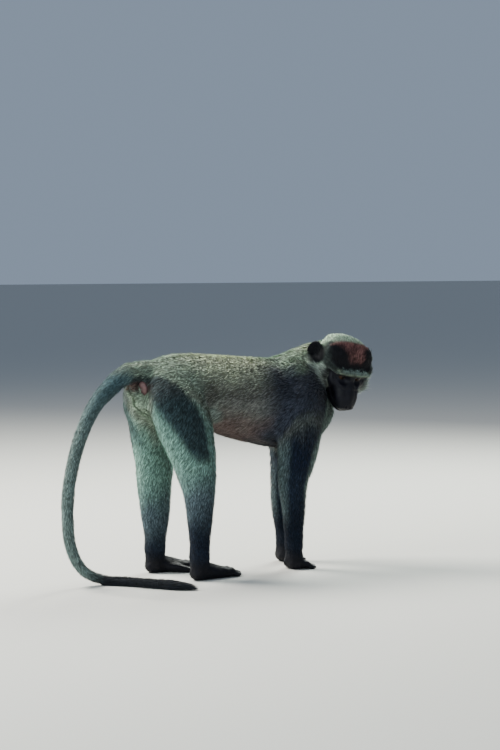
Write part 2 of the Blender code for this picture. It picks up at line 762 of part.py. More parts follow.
def build_body(head_room, ears):
    """The rest of the animal, fused, cut flat at the floor and parted at the joints."""
    shapes = trunk_shapes() + tail_shapes()
    for side, sign in SIDES.items():
        shapes += limb_shapes(ARM[side], sign) + limb_shapes(LEG[side], sign)
        shapes += hand_shapes(side, sign) + foot_shapes(side, sign)
    body = joined(shapes, "body")
    fuse(body, BODY_GRAIN)
    soften(body, lambda point: 0.12 + 0.88 * body_share(point), 16)
    thin_out(body, body_share, BODY_TRIANGLES)
    floor = bmesh.new()
    bmesh.ops.create_cube(floor, size=1, matrix=Matrix.Translation((0, 0, -0.5)) @ Matrix.Diagonal((2, 2, 1, 1)))
    rooms = [to_object(floor, "floor"), head_room]
    rooms += [swollen(ear, 0.0005) for ear in ears]
    named = {}
    for side, sign in SIDES.items():
        (x, y, z), half = CALLOSITY
        lean = Matrix.Rotation(math.radians(-12), 4, "Y") @ Matrix.Rotation(math.radians(sign * -14), 4, "Z")
        for grow, target in ((0.0, None), (0.0004, rooms)):
            size = [h + grow for h in half]
            pad = bmesh.new()
            place = Matrix.Translation((x, sign * y, z)) @ lean @ Matrix.Diagonal((*size, 1))
            bmesh.ops.create_uvsphere(pad, u_segments=12, v_segments=8, radius=1, matrix=place)
            made = to_object(pad, "callosity_" + side)
            if target is None:
                named["callosity_" + side] = made
            else:
                target.append(made)
    carve(body, rooms)
    carve(body, body_cutters())
    named.update(name_parts(loose_parts(body)))
    return named


def face_finish(local):
    """Which finish the head takes at a point in its own axes."""
    x, y, z = local
    side = abs(y)
    if 0.0062 < z < 0.0172 - 0.12 * side and x > 0.0065 - 0.018 * (side / 0.035) ** 2:
        return "coat_pale"
    if z < 0.0065 and x > -0.004 and side < 0.027:
        return "skin_black"
    if z < 0.0065 and side < 0.019 and x > -0.020:
        return "skin_black"
    if z < 0.002 and side > 0.020:
        return "coat_pale"
    return "coat_grey"


def dress(named):
    """Gives every part its finish."""
    finishes = {
        "coat_grey": finish("coat_grey", (0.16, 0.15, 0.12), 0.9),
        "coat_pale": finish("coat_pale", (0.55, 0.55, 0.48), 0.9),
        "skin_black": finish("skin_black", (0.012, 0.012, 0.014), 0.6),
        "eye_brown": finish("eye_brown", (0.05, 0.022, 0.01), 0.12),
        "callosity_pink": finish("callosity_pink", (0.42, 0.2, 0.17), 0.55),
    }
    back = head_frame().inverted()
    for name, made in named.items():
        data = made.data
        data.materials.clear()
        if name == "head":
            order = ["coat_grey", "coat_pale", "skin_black"]
            for key in order:
                data.materials.append(finishes[key])
            for face in data.polygons:
                face.material_index = order.index(face_finish(back @ face.center))
            continue
        key = "coat_grey"
        if name.startswith("ear") or name.endswith(("hand", "foot")):
            key = "skin_black"
        if name.startswith("eye"):
            key = "eye_brown"
        if name.startswith("callosity"):
            key = "callosity_pink"
        data.materials.append(finishes[key])
        for face in data.polygons:
            face.material_index = 0


def centre_on_floor(named):
    """Moves the animal so that the middle of its footprint box is the origin."""
    points = [v.co for made in named.values() for v in made.data.vertices]
    low = Vector([min(p[i] for p in points) for i in range(3)])
    high = Vector([max(p[i] for p in points) for i in range(3)])
    shift = Matrix.Translation((-(low.x + high.x) / 2, -(low.y + high.y) / 2, -low.z))
    for made in named.values():
        made.data.transform(shift)
        made.data.update()


def main():
    clear_scene()
    named, head_room = build_head()
    named.update(build_body(head_room, [named["ear_left"], named["ear_right"]]))
    dress(named)
    centre_on_floor(named)


main()
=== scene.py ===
"""The looks of a life-size vervet monkey: skin, coat, eyes, nails, bare seats, floor, light and camera.

The animal's own axes are +X forward, +Y to its left and +Z up from the floor. The head has axes of its
own, +X out of the face and +Z up, from the point midway between the eyes. All sizes are metres.
"""

import math

import bmesh
import bpy
import numpy as np
from mathutils import Matrix, Vector
from mathutils.bvhtree import BVHTree


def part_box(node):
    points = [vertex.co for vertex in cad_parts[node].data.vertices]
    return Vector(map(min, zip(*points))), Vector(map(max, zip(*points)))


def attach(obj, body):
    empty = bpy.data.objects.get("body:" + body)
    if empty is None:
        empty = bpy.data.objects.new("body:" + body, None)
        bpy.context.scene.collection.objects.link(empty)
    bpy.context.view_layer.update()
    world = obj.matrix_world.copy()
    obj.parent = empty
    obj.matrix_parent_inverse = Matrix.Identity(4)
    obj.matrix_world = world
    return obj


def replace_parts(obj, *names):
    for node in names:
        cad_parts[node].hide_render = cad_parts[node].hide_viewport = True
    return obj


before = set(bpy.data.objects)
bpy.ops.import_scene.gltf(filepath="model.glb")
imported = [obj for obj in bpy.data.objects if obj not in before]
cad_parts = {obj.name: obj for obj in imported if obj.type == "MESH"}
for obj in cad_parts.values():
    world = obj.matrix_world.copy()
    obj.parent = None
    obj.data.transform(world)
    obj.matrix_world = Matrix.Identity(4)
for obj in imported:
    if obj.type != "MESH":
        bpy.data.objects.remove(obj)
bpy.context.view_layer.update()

# The head's place and turn in the animal's own axes.
EYES_MIDDLE = Vector((0.171, -0.067, 0.2922))
HEAD_TURN, HEAD_DROP, HEAD_TILT = -102, 43, 10  # degrees
EYE_RADIUS = 0.0083
EYE_SIDE = 0.0138

SKIN_GRAIN = 0.001  # grain of the skin's first mesh
SKIN_FACES = 176000  # triangles kept
SWELL = 0.0005  # closes the thin gaps between the solids
WELD = 1e-5  # corners nearer than this become one
RESTING = 0.0012  # what is lower rests on the floor

SIDES = {"left": 1, "right": -1}
HEAD_NODES = ["head", "ear_left", "ear_right"]
EYE_NODES = ["eye_left", "eye_right"]
SEAT_NODES = ["callosity_left", "callosity_right"]
BODY_NODES = sorted(set(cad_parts) - set(HEAD_NODES + EYE_NODES + SEAT_NODES))

# Regions of the coat: the nodes they cover, the coat's depth over the skin, its length and its lift.
REGIONS = {
    "trunk": (["trunk"], 0.0048, 0.0105, 0.46),
    "neck": (["neck"], 0.005, 0.012, 0.48),
    "head": (["head"], 0.003, 0.0086, 0.52),
    "ears": (["ear_left", "ear_right"], 0.0002, 0.002, 0.3),
    "upper_arms": (["left_upper_arm", "right_upper_arm"], 0.0042, 0.0092, 0.44),
    "forearms": (["left_forearm", "right_forearm"], 0.003, 0.0075, 0.4),
    "hands": (["left_hand", "right_hand"], 0.0002, 0.003, 0.25),
    "thighs": (["left_thigh", "right_thigh"], 0.0042, 0.0092, 0.44),
    "shanks": (["left_shank", "right_shank"], 0.0031, 0.0078, 0.4),
    "feet": (["left_foot", "right_foot"], 0.0002, 0.003, 0.25),
    "tail": (["tail_root", "tail_upper", "tail_middle", "tail_lower", "tail_tip"], 0.0032, 0.0072, 0.4),
}
REGION_NAMES = list(REGIONS)

# The tail's middle line, in the animal's own axes.
TAIL_LINE = [
    (-0.118, 0, 0.296),
    (-0.15, 0, 0.3035),
    (-0.183, 0, 0.2995),
    (-0.211, 0, 0.28),
    (-0.2475, 0.001, 0.233),
    (-0.2705, 0, 0.172),
    (-0.2795, -0.001, 0.096),
    (-0.274, -0.001, 0.056),
    (-0.257, -0.003, 0.024),
    (-0.23, -0.012, 0.0086),
    (-0.205, -0.038, 0.0073),
    (-0.186, -0.072, 0.007),
    (-0.168, -0.101, 0.0063),
    (-0.142, -0.125, 0.0024),
]


def middle_of(node):
    low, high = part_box(node)
    return (low + high) / 2


def turn_about(axis, degrees):
    return Matrix.Rotation(math.radians(degrees), 4, axis)


EYES_AT = (middle_of("eye_left") + middle_of("eye_right")) / 2
ANIMAL = Matrix.Translation(EYES_AT - EYES_MIDDLE)
HEAD_WAY = turn_about("Z", HEAD_TURN) @ turn_about("Y", HEAD_DROP) @ turn_about("X", -HEAD_TILT)
HEAD = Matrix.Translation(EYES_AT) @ HEAD_WAY


# ---------------- numbers on many points


def ramp(values, start, end):
    """0 at start, 1 at end, smooth between."""
    t = np.clip((values - start) / (end - start), 0, 1)
    return t * t * (3 - 2 * t)


def bump(values, middle, width):
    """1 in the middle, falling to 0 about a width away."""
    return np.exp(-(((values - middle) / width) ** 2))


def moved(points, matrix):
    m = np.array(matrix)
    return points @ m[:3, :3].T + m[:3, 3]


def turned(ways, matrix):
    return ways @ np.array(matrix)[:3, :3].T


def in_animal(points):
    return moved(points, ANIMAL.inverted())


def in_head(points):
    return moved(points, HEAD.inverted())


def unit(ways):
    return ways / np.maximum(np.linalg.norm(ways, axis=1, keepdims=True), 1e-9)


def across(ways, normals):
    """The part of each way that lies along the surface."""
    return unit(ways - normals * (ways * normals).sum(1, keepdims=True))


def read(items, name, width, kind=np.float32):
    """One value, or one row of values, for each item of a mesh."""
    out = np.zeros(len(items) * width, kind)
    items.foreach_get(name, out)
    return out.reshape(-1, width)


def places(mesh):
    return read(mesh.vertices, "co", 3).astype(float)


def normals_of(mesh):
    mesh.update()
    return read(mesh.vertices, "normal", 3).astype(float)


def edges_of(mesh):
    return read(mesh.edges, "vertices", 2, np.int32)


def triangles_of(mesh):
    mesh.calc_loop_triangles()
    return read(mesh.loop_triangles, "vertices", 3, np.int32)


def put(mesh, points):
    mesh.vertices.foreach_set("co", points.astype(np.float32).ravel())
    mesh.update()


def spread(values, ends, share, rounds):
    """Evens out values along the mesh's edges; share is one number or one for each point."""
    count = len(values)
    a, b = ends[:, 0], ends[:, 1]
    near = np.maximum(np.bincount(ends.ravel(), minlength=count), 1)
    share = np.broadcast_to(np.asarray(share, float), (count,))
    out = values.astype(float).reshape(count, -1)
    for _ in range(rounds):
        for k in range(out.shape[1]):
            column = out[:, k]
            total = np.bincount(a, column[b], count) + np.bincount(b, column[a], count)
            out[:, k] = column + share * (total / near - column)
    return out.reshape(values.shape)


def noise(points, size, seed):
    """A soft wandering pattern between about -1 and 1, with hills about a size apart."""
    dice = np.random.default_rng(seed)
    total = np.zeros(len(points))
    for _ in range(7):
        way = dice.normal(size=3)
        way /= np.linalg.norm(way)
        total += np.sin(points @ way * (2 * math.pi / size) * dice.uniform(0.7, 1.4) + dice.uniform(0, 6.28))
    return total / 3.5


def parts_of(shares):
    """How much of each region, and of some regions together, every point belongs to."""
    part = dict(zip(REGION_NAMES, shares.T))
    part["arms"] = part["upper_arms"] + part["forearms"]
    part["legs"] = part["thighs"] + part["shanks"]
    part["digits"] = part["hands"] + part["feet"]
    return part


def store(mesh, name, values):
    """Writes a number, a vector or a colour for each point as a named attribute."""
    kind, spot = "FLOAT", "value"
    if name.endswith("colour"):
        kind, spot = "FLOAT_COLOR", "color"
        values = np.concatenate([values, np.ones((len(values), 1))], 1)
    elif values.ndim == 2:
        kind, spot = "FLOAT_VECTOR", "vector"
    layer = mesh.attributes.new(name, kind, "POINT")
    layer.data.foreach_set(spot, values.astype(np.float32).ravel())


# ---------------- the skin's shape


def link(name, data):
    made = bpy.data.objects.new(name, data)
    bpy.context.scene.collection.objects.link(made)
    return made


def settle(made):
    """Applies the object's modifiers."""
    graph = bpy.context.evaluated_depsgraph_get()
    mesh = bpy.data.meshes.new_from_object(made.evaluated_get(graph))
    made.modifiers.clear()
    made.data = mesh


def mesh_from(name, shape):
    """A mesh from a bmesh, which is let go."""
    mesh = bpy.data.meshes.new(name)
    shape.to_mesh(mesh)
    shape.free()
    return mesh


def grown_copy(node, whole):
    """Adds a welded copy of a node, grown enough to close the gap to its neighbours."""
    copy = bmesh.new()
    copy.from_mesh(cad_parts[node].data)
    bmesh.ops.remove_doubles(copy, verts=copy.verts, dist=WELD)
    copy.normal_update()
    for v, push in [(v, v.normal * SWELL) for v in copy.verts]:
        v.co += push
    mesh = mesh_from("copy", copy)
    whole.from_mesh(mesh)
    bpy.data.meshes.remove(mesh)


def fused(name, nodes, grain, balls=()):
    """One closed mesh of fine even squares over these nodes and balls."""
    whole = bmesh.new()
    for each in nodes:
        grown_copy(each, whole)
    for centre, radius in balls:
        bmesh.ops.create_icosphere(whole, subdivisions=4, radius=radius, matrix=Matrix.Translation(centre))
    made = link(name, mesh_from(name, whole))
    fuse = made.modifiers.new("fuse", "REMESH")
    fuse.mode = "VOXEL"
    fuse.voxel_size = grain
    settle(made)
    return made


KEEP_STEPS = 10  # steps of detail between coarse and fine
KEEP_WEIGHT = 0.0001


def thinned(made, faces, keep):
    """Brings the mesh down to a number of triangles; keep is 1 where detail stays."""
    group = made.vertex_groups.new(name="coarse")
    for level in range(KEEP_STEPS + 1):
        members = np.nonzero(np.round((1 - keep) * KEEP_STEPS).astype(int) == level)[0]
        if len(members):
            group.add(members.tolist(), max(1, level) / KEEP_STEPS, "REPLACE")
    thin = made.modifiers.new("thin", "DECIMATE")
    thin.ratio = faces / (2 * len(made.data.polygons))
    thin.vertex_group = "coarse"
    thin.vertex_group_factor = KEEP_WEIGHT
    settle(made)
    made.vertex_groups.clear()


def nearest_nodes(points, nodes):
    """For each point, which of the nodes its nearest face belongs to."""
    corners, faces, owner = [], [], []
    for i, each in enumerate(nodes):
        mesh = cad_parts[each].data
        start = len(corners)
        corners += [v.co.copy() for v in mesh.vertices]
        faces += [[start + k for k in face.vertices] for face in mesh.polygons]
        owner += [i] * len(mesh.polygons)
    tree = BVHTree.FromPolygons(corners, faces)
    return np.array([owner[tree.find_nearest(p)[2]] for p in points])


def region_shares(mesh, points, rounds):
    """How much of each region every point belongs to, fading across the borders."""
    nodes = [each for spec in REGIONS.values() for each in spec[0]]
    region_of = np.array([i for i, spec in enumerate(REGIONS.values()) for _ in spec[0]])
    found = region_of[nearest_nodes(points, nodes)]
    shares = np.eye(len(REGIONS))[found]
    shares = spread(shares, edges_of(mesh), 0.9, rounds)
    return shares / shares.sum(1, keepdims=True)


BROW_DROP = 0.005  # how far the brow's ends hang below its middle


def bare_face(h):
    """1 on the bare black face, fading to 0 in the coat round it. Points are in the head's own axes."""
    ahead, side, up = h[:, 0], np.abs(h[:, 1]), h[:, 2]
    below_brow = ramp(up + BROW_DROP * ramp(side, 0.016, 0.033), 0.01, 0.007)
    front = ramp(ahead + 0.25 * (side - 0.024), -0.005, 0)
    edge = 0.0307 - 0.0065 * ramp(up, -0.012, -0.026)
    return below_brow * front * ramp(side, edge + 0.0015, edge - 0.0015)


def steepness(h):
    """Degrees up and back over the crown, 0 at the brow and 90 at the top."""
    return np.degrees(np.arctan2(h[:, 2] - 0.0055, h[:, 0] + 0.031))


def near_ear(points):
    """1 close round an ear, where the hair is short, fading to 0."""
    gaps = [np.linalg.norm(points - np.array(middle_of("ear_" + side)), axis=1) for side in SIDES]
    return ramp(np.minimum(*gaps), 0.036, 0.021)


def from_middle(points, middle, half):
    """Distance from a middle or its mirror image, 1 at these half widths."""
    folded = points.copy()
    folded[:, 1] = np.abs(folded[:, 1])
    return np.linalg.norm((folded - np.array(middle)) / np.array(half), axis=1)


# The middle and half widths of an ear's black lower half, in the head's own axes.
LOBE = ((-0.038, 0.045, 0.001), (0.016, 0.012, 0.014))


def from_lobe(h):
    """Distance from the middle of an ear's lower half, 1 at the edge of its black patch."""
    return from_middle(h, *LOBE)


def groin_lock(a):
    """1 on the pale lock of long hair in front of each thigh. Points are in the animal's axes."""
    x, y, z = a.T
    gap = np.hypot((x + 0.052 - 0.8 * (0.246 - z)) / 0.013, (z - 0.244) / 0.013)
    return ramp(gap, 1.25, 0.6) * ramp(np.abs(y), 0.026, 0.036)


def to_line(points, line):
    """Distance to a line of straight runs, how far along it the nearest place is, and its way there."""
    line = np.array(line, float)
    best = np.full(len(points), 1e9)
    along = np.zeros(len(points))
    way = np.zeros((len(points), 3))
    start = 0.0
    for a, b in zip(line, line[1:]):
        run = b - a
        length = np.linalg.norm(run)
        t = np.clip((points - a) @ run / length**2, 0, 1)
        gap = np.linalg.norm(points - a - t[:, None] * run, axis=1)
        closer = gap < best
        best[closer] = gap[closer]
        along[closer] = start + t[closer] * length
        way[closer] = run / length
        start += length
    return best, along, way


LID = 0.001  # thickness of the eyelids
LID_RIM = 0.0005  # how much thicker they are round the opening
LID_REACH, LID_FULL = 0.003, 0.0018  # how far from the eyeball the lids are drawn, and fully drawn, close
OPEN_SINK = 0.0011  # how far inside the eyeball the skin goes in the opening
EYE_OPENING = (0.0064, 0.0039, 0.0031)  # half width, upper and lower half height
OPENING_SLANT = 0.1  # rise of the opening towards its outer corner


def eye_window(y, z, sign):
    """Below 1 inside the opening between the lids, whose outer corner sits a little higher."""
    wide, upper, lower = EYE_OPENING
    y = y * sign
    z = z - OPENING_SLANT * y
    arch = np.sqrt(np.clip(1 - (y / (wide * 1.02)) ** 2, 0, 1)) + 1e-3
    height = np.where(z > 0, upper, lower) * arch
    return np.maximum(np.abs(z) / height, np.abs(y) / wide)


def face_relief(h):
    """How far the face stands out or in along its normal: nose, nostrils, lips, mouth and folds."""
    ahead, side, z = h[:, 0], np.abs(h[:, 1]), h[:, 2]
    front = ramp(ahead, -0.002, 0.004)
    muzzle = ramp(ahead, 0.026, 0.032)
    mouth = z - (-0.0376 + 0.0045 * (side / 0.0195) ** 2)
    lips = ramp(ahead, 0.006, 0.013) * ramp(side, 0.0215, 0.0185)
    relief = -0.0014 * bump(mouth, 0, 0.0008) * lips
    relief += 0.0006 * (bump(mouth, 0.0028, 0.0018) + bump(mouth, -0.0026, 0.0018)) * lips
    nostril = np.hypot((side - 0.0037) / 0.0013, (z + 0.0292 - 0.45 * (side - 0.0037)) / 0.0015)
    relief += (0.0007 * bump(nostril, 2.1, 0.7) - 0.003 * bump(nostril, 0, 1)) * muzzle
    relief += 0.0008 * bump(side, 0, 0.004) * bump(z, -0.0248, 0.003) * muzzle
    relief -= 0.0007 * bump(side, 0, 0.0009) * bump(z, -0.0335, 0.0022) * muzzle
    bridge = ramp(z, 0.002, -0.003) * ramp(z, -0.025, -0.018)
    relief += (0.0007 * bump(side, 0, 0.0036) - 0.0006 * bump(side, 0.0088, 0.0026)) * bridge * front
    # A pouch under each eye, and fine folds that run back over the cheek.
    under = np.hypot(side - EYE_SIDE, z * 1.25)
    pouch = bump(under, 0.0106, 0.0014) - bump(under, 0.013, 0.0012)
    relief += 0.0005 * pouch * ramp(z, 0, -0.004) * front
    fold = np.sin(side * 1500 + z * 1100 + 2.5 * noise(h, 0.016, 31))
    relief += 0.00014 * fold * front * bump(z, -0.018, 0.009) * ramp(side, 0.007, 0.012)
    return relief


def carve_face(points, normals, on_head):
    """The face's relief, and the lids, drawn close over the eyeballs."""
    relief = face_relief(in_head(points)) * on_head
    h = in_head(points + normals * relief[:, None])
    for sign in SIDES.values():
        centre = np.array([0, sign * EYE_SIDE, 0])
        out = h - centre
        reach = np.linalg.norm(out, axis=1)
        near = (reach < EYE_RADIUS + LID_REACH) & (out[:, 0] > 0.0005)
        inside = eye_window(out[:, 1], out[:, 2], sign)
        open_share = ramp(inside, 1.1, 0.92)
        lid = EYE_RADIUS + LID + LID_RIM * bump(inside, 1.22, 0.16)
        target = lid * (1 - open_share) + (EYE_RADIUS - OPEN_SINK) * open_share
        pull = ramp(reach, EYE_RADIUS + LID_REACH, EYE_RADIUS + LID_FULL) * near
        wanted = np.where(reach > target, target, reach + (target - reach) * open_share)
        factor = 1 + pull * (wanted / np.maximum(reach, 1e-6) - 1)
        h = centre + out * factor[:, None]
    return moved(h, HEAD)


def coat_depth(shares, points):
    """How far the skin lies inside the coat's outline."""
    part, h = parts_of(shares), in_head(points)
    ahead, side, up = h[:, 0], np.abs(h[:, 1]), h[:, 2]
    head, height = part["head"], points[:, 2]
    depth = shares @ np.array([spec[1] for spec in REGIONS.values()])
    bare = bare_face(h) * head
    whisker = head * ramp(side, 0.026, 0.036) * ramp(up, 0.002, -0.008) * ramp(ahead, 0.002, -0.008)
    crown = head * ramp(up, 0.012, 0.026)
    lower = part["forearms"] + part["shanks"] + part["hands"] + part["feet"]
    by_height = 0.0002 + 0.0013 * ramp(height, 0.018, 0.06) + 0.0015 * ramp(height, 0.055, 0.12)
    depth = depth * (1 - lower) + by_height * lower
    depth -= 0.0028 * (part["tail"] * ramp(along_tail(in_animal(points)), 0.455, 0.55))
    return depth * (1 - bare) + 0.006 * whisker * (1 - near_ear(points)) + 0.0022 * crown


def tucked(mesh, shares):
    """The mesh's points, drawn in by the coat's depth."""
    points = places(mesh)
    ends = edges_of(mesh)
    depth = spread(coat_depth(shares, points), ends, 0.8, 8)
    normals = unit(spread(normals_of(mesh), ends, 0.8, 4))
    inward = normals * depth[:, None]
    inward[points[:, 2] < RESTING, 2] = 0
    out = points - inward
    out[:, 2] = np.maximum(out[:, 2], np.minimum(points[:, 2], 0))
    return spread(out, ends, 0.4 * ramp(depth, 0.0005, 0.002), 4)


def make_skin():
    """One closed skin over all the flesh, with the face's detail in it."""
    balls = [(HEAD @ Vector((0, sign * EYE_SIDE, 0)), EYE_RADIUS + LID) for sign in SIDES.values()]
    made = fused("skin", BODY_NODES + HEAD_NODES, SKIN_GRAIN, balls)
    mesh = made.data
    points, ends = places(mesh), edges_of(mesh)
    shares = region_shares(mesh, points, 10)
    part = parts_of(shares)
    sharp = np.clip(part["head"] + part["digits"] + part["ears"], 0, 1)
    points = spread(points, ends, 0.7 - 0.58 * sharp, 50)
    points[:, 2] = np.maximum(points[:, 2], 0)
    put(mesh, points)
    put(mesh, tucked(mesh, shares))
    put(mesh, carve_face(places(mesh), normals_of(mesh), part["head"]))
    put(mesh, spread(places(mesh), ends, 0.3 * part["head"], 2))
    face = part["head"] * ramp(in_head(places(mesh))[:, 0], -0.01, 0.004)
    thinned(made, SKIN_FACES, np.clip(face + 0.6 * part["digits"] + 0.5 * part["ears"], 0, 1))
    return made


# ---------------- the coat's markings and lie

# Colours as light leaves them, linear red, green and blue.
BACK = (0.6, 0.66, 0.48)
WITHERS = (0.3, 0.41, 0.29)
RUMP = (0.33, 0.43, 0.33)
FLANK = (0.225, 0.228, 0.2)
# painted shade on the shoulders
SHOULDER_SHADE = (0.052, 0.06, 0.082)
LOW_FLANK = (0.19, 0.135, 0.122)
# painted shade over the haunches and outer thighs
OUTER_THIGH_SHADE = (0.015, 0.025, 0.042)
# painted shade in the fold of the flank in front of the thigh
FOLD_SHADE = (0.085, 0.062, 0.06)
# pale long hair, and painted rim light along the front of the arms and chest
PALE_HAIR_AND_RIM_LIGHT = (0.26, 0.35, 0.3)
# painted rim light on the arms' edges
LIMB_RIM_LIGHT = (0.19, 0.27, 0.265)
BELLY = (0.33, 0.29, 0.26)
UPPER_ARM = (0.01, 0.018, 0.04)
ARM = (0.018, 0.03, 0.054)
THIGH = (0.25, 0.43, 0.36)
SHANK = (0.11, 0.155, 0.175)
DARK = (0.009, 0.016, 0.032)
# painted shade on the underside of the tail's root
TAIL_ROOT_SHADE = (0.085, 0.15, 0.165)
TAIL = (0.16, 0.22, 0.205)
TAIL_END = (0.006, 0.008, 0.013)
RUSTY = (0.13, 0.045, 0.04)
PALE = (0.52, 0.56, 0.48)
WHISKER = (0.26, 0.305, 0.275)
CROWN = (0.29, 0.37, 0.28)
RED_BROWN = (0.21, 0.098, 0.09)
BROW = (0.21, 0.29, 0.265)
TEMPLE = (0.008, 0.011, 0.016)
BLACK = (0.005, 0.005, 0.008)

# What each region is painted before its markings.
PLAIN = dict(trunk=BACK, neck=BACK, head=CROWN, ears=BLACK, upper_arms=UPPER_ARM, forearms=ARM)
PLAIN.update(hands=DARK, thighs=THIGH, shanks=THIGH, feet=DARK, tail=TAIL)

# The painted shade over each haunch: its front and rear edges at these heights.
HAUNCH_HEIGHTS = (0.184, 0.194, 0.216, 0.244, 0.262, 0.285, 0.302)
HAUNCH_FRONT = (-0.085, -0.087, -0.089, -0.094, -0.107, -0.125, -0.141)
HAUNCH_REAR = (-0.108, -0.118, -0.132, -0.151, -0.159, -0.16, -0.158)

# Round the bare seats: the middle and half widths of the painted shadow under the tail and of the rusty hair
# under it.
TAIL_SHADOW = ((-0.157, 0, 0.294), (0.022, 0.036, 0.007))
SEAT_HAIR = ((-0.16, 0, 0.284), (0.022, 0.036, 0.009))
UNEVEN = 0.1  # how much the coat's colour wanders


def mark_body(paint, part, a, grain):
    """Back, flanks, shoulders, belly and throat."""
    x, y, z = a.T
    out, neck = np.abs(y), part["neck"]
    body = part["trunk"] + neck
    paint(part["trunk"] * ramp(x, 0.03, 0.075), WITHERS)
    paint(body * ramp(z + 0.008 * grain, 0.312, 0.262), FLANK)
    paint(body * ramp(z + 0.5 * np.clip(x, -0.1, 0) + 0.008 * grain, 0.244, 0.212), LOW_FLANK)
    drop = 0.04 * ramp(x, -0.09, -0.12)
    rump = ramp(x + 0.4 * (z - 0.28), -0.03, -0.11) * ramp(z, 0.225 - drop, 0.255 - drop)
    paint(body * rump, RUMP)
    # painted shade on the shoulders, full on the right side and weaker on the left
    shoulder_shade = ramp(x + 0.006 * grain, 0.008, 0.062) * ramp(z + 0.006 * grain, 0.318, 0.292)
    torso = np.clip(2.2 * body, 0, 1) * (1 - 0.4 * neck)
    paint(shaded(y) * torso * shoulder_shade, SHOULDER_SHADE)
    # painted shade in the fold of the flank in front of the thigh, full on the right side and weaker on the
    # left
    fold = np.hypot((x + 0.066) / 0.017, (z - 0.27) / 0.024)
    paint(0.6 * shaded(y) * body * ramp(fold, 1.2, 0.5), FOLD_SHADE)
    belly = 0.19 + 0.18 * np.clip(-x - 0.02, 0, 0.12)
    under = ramp(z + 0.006 * grain, belly + 0.006, belly - 0.012)
    paint(body * under * ramp(out, 0.046, 0.03), BELLY)
    throat = neck * ramp(z, 0.262, 0.236) + body * ramp(x, 0.096, 0.118) * ramp(z, 0.262, 0.235)
    paint(0.75 * np.clip(throat, 0, 1) * ramp(out, 0.05, 0.008), PALE)
    paint(0.7 * body * groin_lock(a), PALE_HAIR_AND_RIM_LIGHT)


def mark_limbs(paint, part, a, grain):
    """Arms, legs, tail, the seats' surroundings, and the soles."""
    x, y, z = a.T
    out = np.abs(y)
    body = part["trunk"] + part["neck"]
    arms, legs, tail = part["arms"], part["legs"], part["tail"]
    paint((arms + part["hands"]) * ramp(z + 0.006 * grain, 0.14, 0.066), DARK)
    turn = arm_turn(a)
    # painted rim light along the front and back edges of the arms
    rim = arms * ramp(z, 0.06, 0.1) * ramp(z, 0.215, 0.185) * ramp(np.abs(turn), 0.55, 0.95)
    paint(0.7 * rim, LIMB_RIM_LIGHT)
    # painted rim light: a pale fringe along the front edges of the arms and the chest
    edge = -0.32 - 0.45 * ramp(z, 0.18, 0.215)
    front = arms * ramp(turn, edge, edge - 0.25) * ramp(z, 0.095, 0.13) * ramp(z, 0.232, 0.212)
    chest_rim_light = ramp(x - 0.4 * (z - 0.21), 0.114, 0.123) * ramp(z, 0.19, 0.205) * ramp(z, 0.278, 0.262)
    paint(0.75 * np.clip(front + np.clip(body + arms, 0, 1) * chest_rim_light, 0, 1), PALE_HAIR_AND_RIM_LIGHT)
    paint(0.75 * arms * ramp(out, 0.03, 0.018) * ramp(z, 0.12, 0.16), BELLY)
    lower = legs + part["feet"]
    # painted light and shade: the left leg is painted pale further down than the right
    drop = 0.03 * ramp(y, -0.01, 0.01)  # the left leg stays pale further down
    paint(lower * ramp(z + 0.008 * grain, 0.18 - drop, 0.118 - drop), SHANK)
    # painted shade over the haunch and outer thigh, full on the right side and weaker on the left
    paint(0.88 * shaded(y) * np.clip(legs + body, 0, 1) * haunch_shade(a), OUTER_THIGH_SHADE)
    paint(lower * ramp(z + 0.005 * grain, 0.135 - 1.6 * drop, 0.06 - drop), DARK)
    paint(legs * ramp(out, 0.026, 0.014) * ramp(z, 0.12, 0.16), PALE_HAIR_AND_RIM_LIGHT)
    gone = along_tail(a)
    paint(tail * ramp(gone, 0.1, 0) * ramp(z, 0.27, 0.29), RUMP)
    # painted shade on the underside of the tail's root
    paint(tail * ramp(gone, 0.2, 0.08) * ramp(z, 0.31, 0.296), TAIL_ROOT_SHADE)
    paint(tail * ramp(gone, 0.365, 0.415), TAIL_END)
    # painted shadow under the tail, over the bare seats
    paint(0.8 * ramp(from_middle(a, *TAIL_SHADOW), 1.15, 0.7), DARK)
    paint(0.75 * ramp(from_middle(a, *SEAT_HAIR), 1.1, 0.7), RUSTY)
    paint(part["digits"] * ramp(z, 0.04, 0.016), BLACK)


